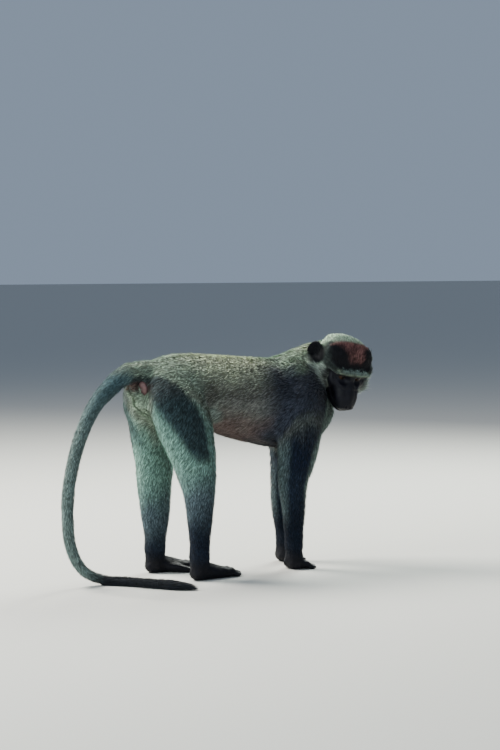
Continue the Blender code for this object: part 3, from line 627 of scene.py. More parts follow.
def mark_head(paint, part, h, grain, around_ear):
    """Nape, temples, the black and brown crown whose black at the forehead is painted shade, cheeks, ears,
    chin, brow and face.
    """
    ahead, left, up = h.T
    side, head, steep = np.abs(left), part["head"], steepness(h)
    over_brow = ramp(up, 0.0122, 0.0142)
    paint(head * ramp(ahead, -0.04, -0.056), WITHERS)
    reach = 96 + 40 * ramp(side, 0.022, 0.034)
    temple = head * ramp(side, 0.022, 0.029) * ramp(steep + 6 * grain, reach + 10, reach - 8)
    paint(0.92 * temple * ramp(ahead, -0.052, -0.042) * ramp(up, -0.002, 0.004), TEMPLE)
    # black over the crown above the brow band, left showing at the forehead as painted shade
    paint(head * ramp(steep + 5 * grain, 94, 82) * ramp(side, 0.036, 0.03) * over_brow, BLACK)
    limit = 0.01 + 0.0045 * ramp(steep, 22, 44) + 0.017 * ramp(steep, 44, 84) + 0.0015 * grain
    brown = head * ramp(steep + 6 * grain, 98, 86) * ramp(steep + 5 * grain, 20, 34)
    brown = brown * (0.3 + 0.7 * ramp(noise(h, 0.004, 77), -0.25, 0.35))
    paint(brown * ramp(side, limit + 0.0022, limit - 0.0022), RED_BROWN)
    cheek = head * ramp(up, 0.006, -0.002) * ramp(side, 0.018, 0.024)
    paint(cheek * (1 - 0.7 * around_ear), WHISKER)
    around = np.clip(head + part["neck"] + part["ears"], 0, 1)
    paint(around * ramp(from_lobe(h), 1.25, 0.95), BLACK)
    paint(head * ramp(up, -0.022, -0.03) * ramp(ahead, 0, -0.01), PALE)
    paint(head * brow_band(h), BROW)
    # real pale whisker hair between the ear and the black, painted on the left side alone; its lack on the
    # right side is painted shade
    far_fringe = ramp(left, 0.029, 0.034) * ramp(ahead, -0.03, -0.018) * ramp(steep, 84, 70)
    paint(0.8 * head * far_fringe * over_brow, WHISKER)
    paint(head * bare_face(h + np.array([0.004, 0, 0])) * 3, BLACK)


def coat_colours(points, shares):
    """The coat's colour at each point: the plain colours, with the markings painted one over another."""
    part = parts_of(shares)
    a, h = in_animal(points), in_head(points)
    grain = noise(points, 0.03, 3)
    colours = shares @ np.array([PLAIN[name] for name in REGION_NAMES])

    def paint(share, colour):
        share = np.clip(share, 0, 1)[:, None]
        colours[:] = colours * (1 - share) + np.array(colour) * share

    mark_body(paint, part, a, grain)
    mark_limbs(paint, part, a, grain)
    mark_head(paint, part, h, grain, near_ear(points))
    return np.clip(colours * (1 + UNEVEN * noise(points, 0.011, 8))[:, None], 0.002, 1)


def shaded(y):
    """How strong the painted shade is: full on the right side, weaker on the left."""
    return 0.75 + 0.25 * ramp(y, 0.025, -0.025)


def haunch_shade(a):
    """1 on the painted shade from under the tail down the outer thigh. Points are in the animal's axes."""
    x, y, z = a.T
    left = ramp(y, -0.01, 0.01)
    front = np.interp(z, HAUNCH_HEIGHTS, HAUNCH_FRONT)
    rear = np.interp(z, HAUNCH_HEIGHTS, HAUNCH_REAR) - 0.012 * left
    inner = 0.016 + 0.022 * ramp(z, 0.29, 0.255) - 0.01 * left
    across_it = ramp(x, front + 0.005, front - 0.005) * ramp(x, rear - 0.006, rear + 0.006)
    return across_it * ramp(z, 0.172, 0.19) * ramp(z, 0.314, 0.3) * ramp(np.abs(y), inner, inner + 0.012)


def brow_band(h):
    """1 on the pale ragged band over the eyes, whose ends hang lower. Points are in the head's own axes."""
    side, up = np.abs(h[:, 1]), h[:, 2]
    low = 0.0108 - BROW_DROP * ramp(side, 0.016, 0.033) + 0.0004 * noise(h, 0.0045, 12)
    high = low + 0.0036 + 0.0008 * noise(h, 0.004, 13)
    tall = ramp(up, low - 0.001, low + 0.0008) * ramp(up, high + 0.001, high - 0.0006)
    return tall * ramp(h[:, 0], -0.006, -0.001) * ramp(side, 0.035, 0.032)


# Half the thickness of an arm from front to back at these heights.
ARM_HEIGHTS = (0.055, 0.135, 0.17, 0.235)
ARM_HALVES = (0.016, 0.025, 0.031, 0.037)


def arm_turn(a):
    """How far back on its own arm a point is, about -1 at the front and 1 behind."""
    return (limb_of(a)[1] - a[:, 0]) / np.interp(a[:, 2], ARM_HEIGHTS, ARM_HALVES)


def along_tail(a):
    """Distance along the tail's middle line."""
    return to_line(a, TAIL_LINE)[1]


# Regions where the coat lies one way all over, in the animal's own axes.
STEADY_LIES = {
    "upper_arms": (-0.3, 0, -1),
    "forearms": (-0.15, 0, -1),
    "hands": (0.5, 0, -0.8),
    "thighs": (-0.55, 0, -1),
    "shanks": (-0.25, 0, -1),
    "feet": (0.8, 0, -0.5),
}
EAR_LIE = (-0.3, 0, 1)  # in the head's own axes


def lie_of(points, normals, shares):
    """The way the coat lies at each point, flat on the skin."""
    a, h = in_animal(points), in_head(points)
    y, z = a[:, 1], a[:, 2]
    sign, up = np.sign(h[:, 1]), h[:, 2]
    from_head = ANIMAL.inverted() @ HEAD

    def way(*parts):
        return np.stack(np.broadcast_arrays(*parts), 1).astype(float)

    cheek = (ramp(up, 0.006, -0.002) * ramp(np.abs(h[:, 1]), 0.016, 0.022))[:, None]
    below = ramp(up, -0.024, -0.034)[:, None]
    brow = brow_band(h)[:, None]
    crown = way(-1, 0.25 * sign, 0.25 + 0.4 * ramp(h[:, 0], -0.01, 0.01))
    head = crown * (1 - cheek) + way(-0.8, 0.75 * sign, -0.05) * cheek
    head = head * (1 - below) + way(-1, 0.1 * sign, -0.35) * below
    head = head * (1 - brow) + way(0.1, 0.6 * sign, 1) * brow
    ways = {name: np.array([lie], float) for name, lie in STEADY_LIES.items()}
    ways["trunk"] = way(-1, 0.12 * np.sign(y), -0.25 - 0.35 * ramp(z, 0.29, 0.23))
    ways["neck"] = way(-1, 0.2 * np.sign(y), -0.15 - 0.9 * ramp(z, 0.285, 0.235))
    ways["head"] = turned(head, from_head)
    ways["ears"] = turned(np.array([EAR_LIE], float), from_head)
    ways["tail"] = to_line(a, TAIL_LINE)[2]
    total = sum(unit(ways[name]) * shares[:, k, None] for k, name in enumerate(REGION_NAMES))
    return across(turned(total, ANIMAL), normals)


SHORTEST, LONGEST = 0.0011, 0.03


def coat_sizes(points, shares):
    """Length and lift of the tufts at each point."""
    part = parts_of(shares)
    a, h = in_animal(points), in_head(points)
    z, ahead, up, side = a[:, 2], h[:, 0], h[:, 2], np.abs(h[:, 1])
    head, steep = part["head"], steepness(h)
    length, lift = (shares @ np.array([spec[k] for spec in REGIONS.values()]) for k in (2, 3))
    length *= 1 - 0.45 * (part["arms"] + part["thighs"] + part["shanks"]) * ramp(z, 0.11, 0.04)
    cheek = head * ramp(up, 0.006, -0.004) * ramp(side, 0.021, 0.028)
    length += (0.003 + 0.009 * ramp(up, -0.002, -0.014)) * cheek
    length += 0.0014 * (part["digits"] * ramp(z, 0.02, 0.055))
    length += 0.004 * (part["neck"] * ramp(z, 0.262, 0.236))
    length *= 1 - 0.32 * head * ramp(steep, 70, 84) * ramp(steep, 152, 136)
    fore = head * ramp(ahead, -0.02, 0.004) * (1 - cheek)
    length *= 1 - 0.45 * fore * ramp(up, 0.026, 0.016)
    length *= 1 - 0.15 * head * brow_band(h)
    around = np.clip(head + part["neck"], 0, 1)
    length *= 1 - 0.6 * around * near_ear(points)
    length *= 1 - 0.6 * around * ramp(from_lobe(h), 1.8, 1.2)
    length += 0.0085 * part["trunk"] * groin_lock(a)
    length += 0.003 * head * ramp(h[:, 1], 0.027, 0.033) * ramp(steep, 88, 74) * ramp(steep, 0, 14)
    length += 0.0025 * part["tail"] * ramp(along_tail(a), 0.49, 0.53)
    length *= 1 - 0.9 * (head * bare_face(h))
    return np.clip(length, SHORTEST, LONGEST), lift


# ---------------- the coat's unwrap

# The middle of each limb, forwards and outwards, at these heights.
LIMB_HEIGHTS = (0.032, 0.055, 0.091, 0.133, 0.167, 0.2, 0.235, 0.27)
LIMB_MIDDLES = {
    "right leg": (-0.0878, -0.0875, -0.0885, -0.0905, -0.096, -0.103, -0.1115, -0.119),
    "left leg": (-0.102, -0.1005, -0.1, -0.101, -0.1005, -0.1025, -0.1085, -0.119),
    "right arm": (0.0915, 0.0905, 0.0872, 0.0825, 0.0865, 0.0905, 0.0985, 0.107),
    "left arm": (0.1255, 0.1245, 0.1242, 0.13, 0.1355, 0.134, 0.128, 0.117),
}
LIMB_OUT = {"leg": 0.05, "arm": 0.043}


def limb_of(a):
    """Which limb is nearest, 0 to 3, and the middle of it at each height."""
    kind = (a[:, 0] > 0) * 2 + (a[:, 1] > 0)
    middle_x, middle_y = np.zeros(len(a)), np.zeros(len(a))
    for k, (name, places_x) in enumerate(LIMB_MIDDLES.items()):
        side, limb = name.split()
        middle_x[kind == k] = np.interp(a[kind == k, 2], LIMB_HEIGHTS, places_x)
        middle_y[kind == k] = SIDES[side] * LIMB_OUT[limb]
    return kind, middle_x, middle_y


def tail_spots(gone):
    """The places on the tail's middle line at these distances along it."""
    line = np.array(TAIL_LINE, float)
    starts = np.concatenate([[0], np.cumsum(np.linalg.norm(np.diff(line, axis=0), axis=1))])
    return np.stack([np.interp(gone, starts, line[:, k]) for k in range(3)], 1)


def round_place(points, kind):
    """Where a point lies round its line: the angle's cosine and sine, how far along, and its strip."""
    a, h = in_animal(points), in_head(points)
    page = np.zeros(len(a))
    if kind == "head":
        angle = np.arctan2(h[:, 1], h[:, 2] + 0.012)
        along = (h[:, 0] + 0.085) / 0.135
    elif kind == "tail":
        _, gone, way = to_line(a, TAIL_LINE)
        out = a - tail_spots(gone)
        sideways = unit(np.cross(way, np.array([0, 1, 0.3])))
        upright = np.cross(way, sideways)
        angle = np.arctan2((out * sideways).sum(1), (out * upright).sum(1))
        along = gone / 0.6
    elif kind == "limb":
        page, middle_x, middle_y = limb_of(a)
        angle = np.arctan2(a[:, 1] - middle_y, a[:, 0] - middle_x)
        along = a[:, 2] / 0.33
    else:
        angle = np.arctan2(a[:, 1], 0.25 - a[:, 2])
        along = (a[:, 0] + 0.2) / 0.4
    return np.stack([np.cos(angle), np.sin(angle), np.clip(along, 0, 1)], 1), page


# ---------------- nodes and materials


def feed(tree, made, inputs):
    """Gives a node's inputs, by name or number, their sockets or plain values."""
    for spot, value in inputs.items():
        if isinstance(value, bpy.types.NodeSocket):
            tree.links.new(value, made.inputs[spot])
        else:
            made.inputs[spot].default_value = value
    return made


def node(tree, kind, inputs, **settings):
    """A new node with these settings and inputs."""
    made = tree.nodes.new(kind)
    for name, value in settings.items():
        setattr(made, name, value)
    return feed(tree, made, inputs)


def material(name, surface_of):
    """A new material whose surface shader has the inputs that surface_of gives."""
    made = bpy.data.materials.new(name)
    made.use_nodes = True
    tree = made.node_tree
    feed(tree, tree.nodes["Principled BSDF"], surface_of(tree))
    return made


def attribute(tree, name, kind="Fac"):
    return node(tree, "ShaderNodeAttribute", {}, attribute_name=name).outputs[kind]


def mixed(tree, factor, a, b, blend="MIX"):
    """A colour mix; a and b are sockets or plain colours."""
    a, b = ((*value, 1) if isinstance(value, tuple) else value for value in (a, b))
    return node(tree, "ShaderNodeMix", {0: factor, 6: a, 7: b}, data_type="RGBA", blend_type=blend).outputs[2]


def remap(tree, source, low, high, to_low, to_high):
    ends = {"From Min": low, "From Max": high, "To Min": to_low, "To Max": to_high}
    return node(tree, "ShaderNodeMapRange", {"Value": source, **ends}).outputs["Result"]


def pattern(tree, scale, detail):
    """Fractal noise in the object's own metres."""
    spots = node(tree, "ShaderNodeTexCoord", {}).outputs["Object"]
    inputs = {"Scale": scale, "Detail": detail, "Vector": spots}
    return node(tree, "ShaderNodeTexNoise", inputs).outputs["Fac"]


def bumpy(tree, height, strength, distance):
    inputs = {"Strength": strength, "Distance": distance, "Height": height}
    return node(tree, "ShaderNodeBump", inputs).outputs["Normal"]


def finish(colour, roughness, specular, **more):
    return {"Base Color": colour, "Roughness": roughness, "Specular IOR Level": specular, **more}


def times(tree, base, shade):
    """A colour, each part of it multiplied by a grey value."""
    tint = node(tree, "ShaderNodeCombineColor", dict.fromkeys(("Red", "Green", "Blue"), shade))
    return mixed(tree, 1, base, tint.outputs["Color"], "MULTIPLY")


def coat_surface(tree):
    """Hairs dark at the root and lighter at the tip, each tuft a little different."""
    base = attribute(tree, "coat_colour", "Color")
    rare = node(tree, "ShaderNodeMath", {0: attribute(tree, "tuft_shade"), 1: 1.8}, operation="POWER")
    root = mixed(tree, 1, base, (0.36, 0.34, 0.34), "MULTIPLY")
    tip = times(tree, base, remap(tree, rare.outputs[0], 0, 1, 0.42, 2.6))
    share = remap(tree, attribute(tree, "blade_along"), 0.3, 0.85, 0, 1)
    sheen = {"Sheen Weight": 0.08, "Sheen Roughness": 0.45}
    return finish(mixed(tree, share, root, tip), 0.78, 0.22, **sheen)


def skin_surface(tree):
    """Dark leathery skin, the coat's own colour under the coat."""
    base = attribute(tree, "coat_colour", "Color")
    cover = attribute(tree, "coat_cover")
    under = mixed(tree, 1, base, (0.55, 0.52, 0.5), "MULTIPLY")
    bare = times(tree, base, remap(tree, pattern(tree, 90, 4), 0.3, 0.7, 0.75, 1.35))
    leather = bumpy(tree, pattern(tree, 1100, 3), 0.6, 0.0006)
    return finish(mixed(tree, cover, bare, under), remap(tree, cover, 0, 1, 0.52, 0.85), 0.12, Normal=leather)


def eye_surface(tree):
    """Brown iris with a dark rim, a black pupil and a dark brown white of the eye, glossy all over."""
    off = attribute(tree, "off_axis")
    iris = mixed(tree, pattern(tree, 2600, 2), (0.012, 0.006, 0.004), (0.036, 0.018, 0.009))
    pupil = node(tree, "ShaderNodeValToRGB", {"Fac": off})
    for stop, spot, grey in zip(pupil.color_ramp.elements, (0.22, 0.26), (0, 1)):
        stop.position = spot
        stop.color = (grey, grey, grey, 1)
    seen = mixed(tree, pupil.outputs["Color"], (0.003, 0.003, 0.004), iris)
    edge = remap(tree, off, 0.56, 0.64, 0, 1)
    return finish(mixed(tree, edge, seen, (0.016, 0.01, 0.008)), 0.1, 0.1)


def seat_surface(tree):
    mottle = remap(tree, pattern(tree, 260, 4), 0.3, 0.7, 0, 1)
    colour = mixed(tree, mottle, (0.07, 0.034, 0.034), (0.125, 0.062, 0.06))
    return finish(colour, 0.55, 0.4, Normal=bumpy(tree, pattern(tree, 700, 4), 0.8, 0.0008))


def nail_surface(tree):
    return finish(mixed(tree, pattern(tree, 300, 2), (0.01, 0.01, 0.012), (0.035, 0.033, 0.034)), 0.3, 0.5)


# ---------------- the coat's tufts

# Each blade of a tuft: sideways start, forward start, reach and turn, in widths and lengths of the tuft.
BLADES = [(0, 0, 1, 0), (-0.55, 0.1, 0.82, 0.2), (0.6, 0.04, 0.7, -0.24)]
# Each row of a blade: the share of its length, half its width and its height.
BLADE_ROWS = [(0, 0.5, -0.12), (0.45, 0.42, 0.66), (1, 0, 1)]
PATCH = 0.003  # how wide a tuft is on the map
MAP_EDGE = 0.01  # left free round the map
FLOOR_CLEAR = 0.0004  # how far the lowest tips stay over the floor

SWAY_SCALE = 75  # of the soft noise that turns neighbouring tufts alike
YAW_SWAY, YAW_DICE = 0.9, (-0.22, 0.22)
PITCH_SWAY, PITCH_DICE = 0.35, (-0.08, 0.1)
ROLL_DICE = (-0.5, 0.5)
LENGTH_DICE, WIDTH_DICE = (0.78, 1.08), (0.7, 1.2)
GUARD_FROM, GUARD_EXTRA = 0.91, 0.22  # the draw over which a tuft is a longer one, and by how much


def tuft_shape():
    """Three narrow blades from one root, each a bent strip that ends in a point. The lie is +Y, up is +Z."""
    points, faces, along, patch = [], [], [], []
    for side, start, reach, turn in BLADES:
        first = len(points)
        for t, half, height in BLADE_ROWS:
            for off in (-half, half) if half else (0,):
                points.append((side + off + turn * t * 4, start + t * reach, height * (0.75 + 0.25 * reach)))
                along.append(t)
                patch.append(((side + off) / 2.4, t - 0.5, 0))
        a, b, c, d, e = range(first, first + 5)
        faces += [(a, b, d), (a, d, c), (c, d, e)]
    mesh = bpy.data.meshes.new("tuft")
    mesh.from_pydata(points, [], faces)
    store(mesh, "blade_along", np.array(along))
    store(mesh, "blade_patch", np.array(patch))
    mesh.shade_smooth()
    return link("tuft", mesh)


def coat_nodes():
    """The node group that covers a stretch of skin with tufts along its lie, and its sockets."""
    tree = bpy.data.node_groups.new("coat", "GeometryNodeTree")
    kinds = {"Skin": "Geometry", "Tuft": "Object", "Density": "Float", "Seed": "Int", "Material": "Material"}
    sockets = {}
    for name, kind in kinds.items():
        socket = tree.interface.new_socket(name, in_out="INPUT", socket_type="NodeSocket" + kind)
        sockets[name] = socket.identifier
    tree.interface.new_socket("Coat", in_out="OUTPUT", socket_type="NodeSocketGeometry")
    given = node(tree, "NodeGroupInput", {}).outputs

    def new(kind, *inputs, **settings):
        return node(tree, kind, dict(enumerate(inputs)), **settings).outputs

    def maths(operation, *values):
        return new("ShaderNodeMath", *values, operation=operation)[0]

    def field(name, kind="FLOAT"):
        return new("GeometryNodeInputNamedAttribute", name, data_type=kind)["Attribute"]

    def dice(ends, seed):
        inputs = {2: ends[0], 3: ends[1], 8: seed}
        return node(tree, "FunctionNodeRandomValue", inputs, data_type="FLOAT").outputs[1]

    def vector(x, y, z):
        return new("ShaderNodeCombineXYZ", x, y, z)[0]

    def split(source):
        return new("ShaderNodeSeparateXYZ", source)

    def sways(share, reach, ends, seed):
        """A turn that neighbours share, up to half its reach each way, and a draw between the ends."""
        shared = maths("MULTIPLY", maths("SUBTRACT", share, 0.5), reach)
        return maths("ADD", shared, dice(ends, seed))

    def stored(geometry, name, value, kind="FLOAT", domain="POINT"):
        inputs = {"Name": name, "Geometry": geometry, "Value": value}
        return node(tree, "GeometryNodeStoreNamedAttribute", inputs, data_type=kind, domain=domain).outputs[0]

    count = maths("MULTIPLY", field("coat_count"), given["Density"])
    inputs = {0: given["Skin"], 4: count, 6: given["Seed"]}
    roots = node(tree, "GeometryNodeDistributePointsOnFaces", inputs).outputs
    points = stored(roots[0], "tuft_shade", dice((0, 1), 5))

    lie = field("coat_lie", "FLOAT_VECTOR")
    aim = new("FunctionNodeAxesToRotation", roots[1], lie, primary_axis="Z", secondary_axis="Y")[0]
    place = new("GeometryNodeInputPosition")[0]
    sway = node(tree, "ShaderNodeTexNoise", {"Vector": place, "Scale": SWAY_SCALE, "Detail": 2})
    near = split(sway.outputs["Color"])
    yaw = sways(near[0], YAW_SWAY, YAW_DICE, 11)
    pitch = sways(near[1], PITCH_SWAY, PITCH_DICE, 12)
    spin = new("FunctionNodeEulerToRotation", vector(pitch, dice(ROLL_DICE, 13), yaw))[0]
    turn = new("FunctionNodeRotateRotation", aim, spin, rotation_space="LOCAL")[0]

    guard = maths("GREATER_THAN", dice((0, 1), 14), GUARD_FROM)
    longer = maths("ADD", dice(LENGTH_DICE, 15), maths("MULTIPLY", guard, GUARD_EXTRA))
    length = maths("MULTIPLY", field("coat_length"), longer)
    rise = maths("MULTIPLY", length, field("coat_lift"))
    width = maths("MULTIPLY", field("coat_width"), dice(WIDTH_DICE, 16))
    tuft = new("GeometryNodeObjectInfo", given["Tuft"])[4]
    inputs = {0: points, 2: tuft, 5: turn, 6: vector(width, length, rise)}
    planted = node(tree, "GeometryNodeInstanceOnPoints", inputs).outputs[0]
    real = new("GeometryNodeRealizeInstances", planted)[0]

    spot = split(place)
    stand = vector(spot[0], spot[1], maths("MAXIMUM", spot[2], FLOOR_CLEAR))
    stood = node(tree, "GeometryNodeSetPosition", {0: real, 2: stand}).outputs[0]

    around = split(field("coat_round", "FLOAT_VECTOR"))
    patch = split(field("blade_patch", "FLOAT_VECTOR"))
    share = maths("MULTIPLY_ADD", maths("ARCTAN2", around[1], around[0]), 0.5 / math.pi, 0.5)
    strip = maths("ADD", field("coat_strip"), maths("MULTIPLY", share, field("strip_wide")))
    u = maths("MULTIPLY_ADD", patch[0], PATCH, strip)
    v_root = maths("MULTIPLY_ADD", around[2], 1 - 2 * MAP_EDGE, MAP_EDGE)
    v = maths("MULTIPLY_ADD", patch[1], PATCH, v_root)
    mapped = stored(stood, "OFBake", vector(u, v, 0), "FLOAT2", "CORNER")
    painted = node(tree, "GeometryNodeSetMaterial", {0: mapped, 2: given["Material"]}).outputs[0]
    node(tree, "NodeGroupOutput", {0: painted})
    return tree, sockets


FLANK_TOP, BELLY_TOP = 0.262, 0.205
CHEEK_TOP = 0.004


def stretches(a, h, region):
    """For each coat piece: the faces it grows on, what they are unwrapped round, its slot and its tufts."""

    def among(*names):
        return np.isin(region, [REGION_NAMES.index(name) for name in names])

    trunk = among("trunk", "neck")
    legs = among("thighs", "shanks", "feet")
    head = among("head", "ears")
    top, low = a[:, 2] > FLANK_TOP, a[:, 2] < BELLY_TOP
    left = a[:, 1] > 0
    crown = h[:, 2] > CHEEK_TOP
    flank = trunk & ~top & ~low
    return {
        "coat_back": (trunk & top, "trunk", "coat_grey", 19000),
        "coat_left_flank": (flank & left, "trunk", "coat_grey", 14000),
        "coat_right_flank": (flank & ~left, "trunk", "coat_grey", 14000),
        "coat_belly": (trunk & low, "trunk", "coat_pale", 12000),
        "coat_arms": (among("upper_arms", "forearms", "hands"), "limb", "coat_grey", 19000),
        "coat_left_leg": (legs & left, "limb", "coat_grey", 19000),
        "coat_right_leg": (legs & ~left, "limb", "coat_grey", 19000),
        "coat_tail": (among("tail"), "tail", "coat_grey", 19000),
        "coat_crown": (head & crown, "head", "coat_grey", 15000),
        "coat_cheeks": (head & ~crown, "head", "coat_pale", 15000),
    }


def soil(name, points, triangles, values):
    """A mesh of these triangles alone, with the coat's values on its points."""
    used, corners = np.unique(triangles, return_inverse=True)
    mesh = bpy.data.meshes.new(name)
    mesh.from_pydata(points[used].tolist(), [], corners.reshape(-1, 3).tolist())
    for key, column in values.items():
        store(mesh, key, column[used])
    return mesh


def spread_area(points, triangles, count):
    """The sum over the triangles of their area times their count's mean."""
    a, b, c = (points[triangles[:, k]] for k in range(3))
    areas = np.linalg.norm(np.cross(b - a, c - a), axis=1) / 2
    return (areas * count[triangles].mean(1)).sum()


USUAL_LENGTH, LEAST_LENGTH = 0.0085, 0.004  # shorter hair grows closer
BLADE_WIDTH, WIDTH_BY_LENGTH, WIDEST_FROM = 0.0002, 0.052, 0.0105


def grow_coat(skin, paint):
    """Dresses the skin in its coat, one object for each stretch."""
    mesh = skin.data
    points, normals = places(mesh), normals_of(mesh)
    shares = region_shares(mesh, points, 14)
    part = parts_of(shares)
    colours = coat_colours(points, shares)
    lie = across(spread(lie_of(points, normals, shares), edges_of(mesh), 0.8, 12), normals)
    length, lift = coat_sizes(points, shares)
    bare = part["head"] * bare_face(in_head(points))
    digits = part["digits"] * ramp(points[:, 2], 0.03, 0.014)
    palms = ramp(points[:, 2], 0.003, 0.001)
    count = (USUAL_LENGTH / np.maximum(length, LEAST_LENGTH)) ** 0.7
    for lost in (np.clip(bare * 1.8, 0, 1), 0.75 * digits, palms, 0.8 * part["ears"]):
        count *= 1 - lost
    store(mesh, "coat_colour", colours)
    store(mesh, "coat_cover", np.clip(1 - bare - digits - 0.8 * part["ears"], 0, 1))

    group, sockets = coat_nodes()
    tuft = tuft_shape()
    triangles = triangles_of(mesh)
    middles = points[triangles].mean(1)
    main = shares.argmax(1)[triangles[:, 0]]
    found = stretches(in_animal(middles), in_head(middles), main)
    made = []
    for seed, (name, (mask, kind, slot, tufts)) in enumerate(found.items(), 1):
        around, page = round_place(points, kind)
        strips = len(LIMB_MIDDLES) if kind == "limb" else 1
        values = {
            "coat_colour": colours,
            "coat_lie": lie,
            "coat_round": around,
            "coat_strip": MAP_EDGE + (1 - 2 * MAP_EDGE) * page / strips,
            "strip_wide": np.full(len(points), (1 - 4 * MAP_EDGE) / strips),
            "coat_length": length,
            "coat_lift": lift,
            "coat_width": BLADE_WIDTH + WIDTH_BY_LENGTH * np.minimum(length, WIDEST_FROM),
            "coat_count": count,
        }
        stretch = triangles[mask]
        coat = link(name, soil(name, points, stretch, values))
        grow = coat.modifiers.new("grow", "NODES")
        grow.node_group = group
        grow[sockets["Tuft"]] = tuft
        grow[sockets["Density"]] = tufts / spread_area(points, stretch, count)
        grow[sockets["Seed"]] = seed
        grow[sockets["Material"]] = paint
        settle(coat)
        made.append(coat)
    bpy.data.objects.remove(tuft, do_unlink=True)
    return made


# ---------------- eyes, seats and nails

GAZE = Vector((1, 0, 0.18)).normalized()
CORNEA = 0.58  # half width of the clear bulge, as a share of the eye
CORNEA_RISE = 0.055  # how far it stands out, as a share of the eye


def painted(made, look):
    """Gives an object this material alone and smooth shading."""
    made.data.materials.clear()
    made.data.materials.append(look)
    made.data.shade_smooth()
    return made


def make_eye(side):
    """An eyeball whose clear front bulges a little."""
    ball = bmesh.new()
    bmesh.ops.create_uvsphere(ball, u_segments=64, v_segments=40, radius=1)
    mesh = mesh_from("ball_" + side, ball)
    points = unit(places(mesh))
    gaze = np.array(GAZE)
    ahead = points @ gaze
    off = np.linalg.norm(points - gaze * ahead[:, None], axis=1)
    off = np.where(ahead > 0, off, 1)
    raised = 1 + CORNEA_RISE * np.clip(1 - (off / CORNEA) ** 2, 0, 1)
    centre = np.array([0, SIDES[side] * EYE_SIDE, 0])
    put(mesh, moved(points * (EYE_RADIUS * raised)[:, None] + centre, HEAD))
    store(mesh, "off_axis", off)
    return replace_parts(link("eyeball_" + side, mesh), "eye_" + side)


SEAT_GRAIN = 0.0006
SEAT_SEEDS = {"left": 21, "right": 22}
CREASE_DEPTH, CREASE_WIDTH, CREASE_APART = 0.0004, 0.16, 0.006


def make_seat(side):
    """The bare hard seat, with a few shallow creases."""
    bare = "callosity_" + side
    made = fused("seat_" + side, [bare], SEAT_GRAIN)
    mesh = made.data
    points = spread(places(mesh), edges_of(mesh), 0.5, 10)
    put(mesh, points)
    creases = bump(noise(points, CREASE_APART, SEAT_SEEDS[side]), 0, CREASE_WIDTH)
    put(mesh, points - normals_of(mesh) * (CREASE_DEPTH * creases)[:, None])
    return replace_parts(made, bare)


# Where the hands and feet stand, forward and outward, and how many degrees they turn out.
HANDS = {"left": (0.1255, 0.036, 3), "right": (0.0915, 0.037, 2)}
FEET = {"left": (-0.1, 0.05, 2), "right": (-0.086, 0.05, -13)}
# Each digit: forward, outward, spread in degrees, length, radius.
FINGERS = [
    (0.006, 0.0125, 15, 0.021, 0.0045),
    (0.0078, 0.0045, 5, 0.0245, 0.0048),
    (0.0078, -0.004, -3, 0.025, 0.0049),
    (0.0065, -0.012, -12, 0.0215, 0.0046),
    (-0.005, -0.012, -48, 0.017, 0.0044),
]
TOES = [
    (0.044, 0.0135, 10, 0.023, 0.0048),
    (0.049, 0.0055, 4, 0.0275, 0.0051),
    (0.0505, -0.003, -2, 0.0285, 0.0052),
    (0.048, -0.0112, -8, 0.026, 0.005),
    (0.018, -0.014, -36, 0.029, 0.0062),
]
NAIL_ALONG, NAIL_UP, NAIL_RAISED = 0.93, 0.86, 0.0002  # shares of the digit's length and radius, and a lift
NAIL_SIZES = (0.92, 0.56, 0.4)  # half length, half width and half height, as shares of the digit's radius
NAIL_SLOPE = 24  # degrees down to its tip


def make_nails():
    """A curved nail on the end of every digit."""
    nails = bmesh.new()
    for spots, digits in ((HANDS, FINGERS), (FEET, TOES)):
        for side, (x, y, turn) in spots.items():
            sign = SIDES[side]
            limb = ANIMAL @ Matrix.Translation((x, sign * y, 0)) @ turn_about("Z", sign * turn)
            for forward, outward, spread_by, length, radius in digits:
                way = turn_about("Z", sign * spread_by)
                tip = way @ Vector((length * NAIL_ALONG, 0, radius * NAIL_UP + NAIL_RAISED))
                spot = Vector((forward, sign * outward, 0)) + tip
                size = Matrix.Diagonal((*(radius * share for share in NAIL_SIZES), 1))
                place = limb @ Matrix.Translation(spot) @ way @ turn_about("Y", NAIL_SLOPE) @ size
                bmesh.ops.create_uvsphere(nails, u_segments=14, v_segments=10, radius=1, matrix=place)
    return link("nails", mesh_from("nails", nails))


# ---------------- floor, light and camera

FLOOR_REACH = 30
SKY, SKY_STRENGTH = (0.6, 0.76, 1, 1), 0.4
# Each lamp: its place, power, width and colour.
LAMPS = {
    "key": ((-0.9, 1.2, 1.9), 165, 1.1, (1, 0.98, 0.9)),
    "left": ((-2, -0.1, 0.9), 36, 1, (0.9, 1, 0.98)),
    "rim": ((1.5, 0.9, 1.5), 85, 1, (0.94, 1, 0.92)),
    "fill": ((-1.2, -2.6, 1.2), 20, 1.6, (0.84, 0.94, 1)),
}
LIT = Vector((0, 0, 0.15))  # what the lamps point at


def floor_surface(tree):
    return finish((0.5, 0.49, 0.46, 1), 0.85, 0.2)


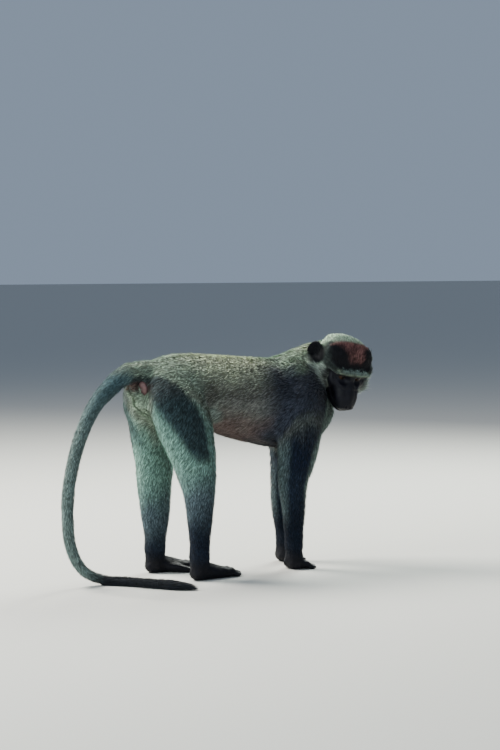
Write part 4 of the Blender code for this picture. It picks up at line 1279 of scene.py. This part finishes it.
def floor_and_light():
    mesh = bpy.data.meshes.new("floor")
    corners = [(x * FLOOR_REACH, y * FLOOR_REACH, 0) for x, y in ((-1, -1), (1, -1), (1, 1), (-1, 1))]
    mesh.from_pydata(corners, [], [(0, 1, 2, 3)])
    mesh.materials.append(material("studio_floor", floor_surface))
    link("floor", mesh)
    world = bpy.data.worlds.new("studio")
    world.use_nodes = True
    sky = world.node_tree
    feed(sky, sky.nodes["Background"], {"Color": SKY, "Strength": SKY_STRENGTH})
    bpy.context.scene.world = world
    for name, (place, power, size, colour) in LAMPS.items():
        lamp = bpy.data.lights.new(name, "AREA")
        lamp.energy = power
        lamp.size = size
        lamp.color = colour
        made = link(name, lamp)
        made.location = place
        made.rotation_euler = (LIT - Vector(place)).to_track_quat("-Z", "Y").to_euler()


CAMERA_AWAY = 3.12
CAMERA_TURN, CAMERA_RISE = math.radians(-34), math.radians(5.5)
LENS, SENSOR = 100, 36
NEAREST_SEEN = 0.05
AIM_HEIGHT = 0.17  # the height the camera goes round
AIM_RIGHT, AIM_UP = 0.03, 0.1243  # how far past that it looks


def make_camera():
    """Looks from behind the animal's right side, the animal a little left of the middle and low."""
    lens = bpy.data.cameras.new("camera")
    lens.lens = LENS
    lens.sensor_width = SENSOR
    lens.sensor_fit = "AUTO"
    lens.clip_start = NEAREST_SEEN
    made = link("camera", lens)
    flat = math.cos(CAMERA_RISE)
    away = Vector((math.sin(CAMERA_TURN) * flat, -math.cos(CAMERA_TURN) * flat, math.sin(CAMERA_RISE)))
    right = Vector((math.cos(CAMERA_TURN), math.sin(CAMERA_TURN), 0))
    target = ANIMAL @ Vector((0, 0, AIM_HEIGHT))
    aim = target + right * AIM_RIGHT + away.cross(right) * AIM_UP
    made.location = target + away * CAMERA_AWAY
    made.rotation_euler = (made.location - aim).to_track_quat("Z", "Y").to_euler()
    bpy.context.scene.camera = made


# ---------------- all of it


def dress():
    skin = painted(make_skin(), material("skin", skin_surface))
    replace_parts(skin, *BODY_NODES, *HEAD_NODES)
    pieces = [skin] + grow_coat(skin, material("coat", coat_surface))
    eye_look, seat_look = material("eye", eye_surface), material("seat", seat_surface)
    for side in SIDES:
        pieces += [painted(make_eye(side), eye_look), painted(make_seat(side), seat_look)]
    pieces.append(painted(make_nails(), material("nail", nail_surface)))
    for piece in pieces:
        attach(piece, "root")


dress()
floor_and_light()
make_camera()
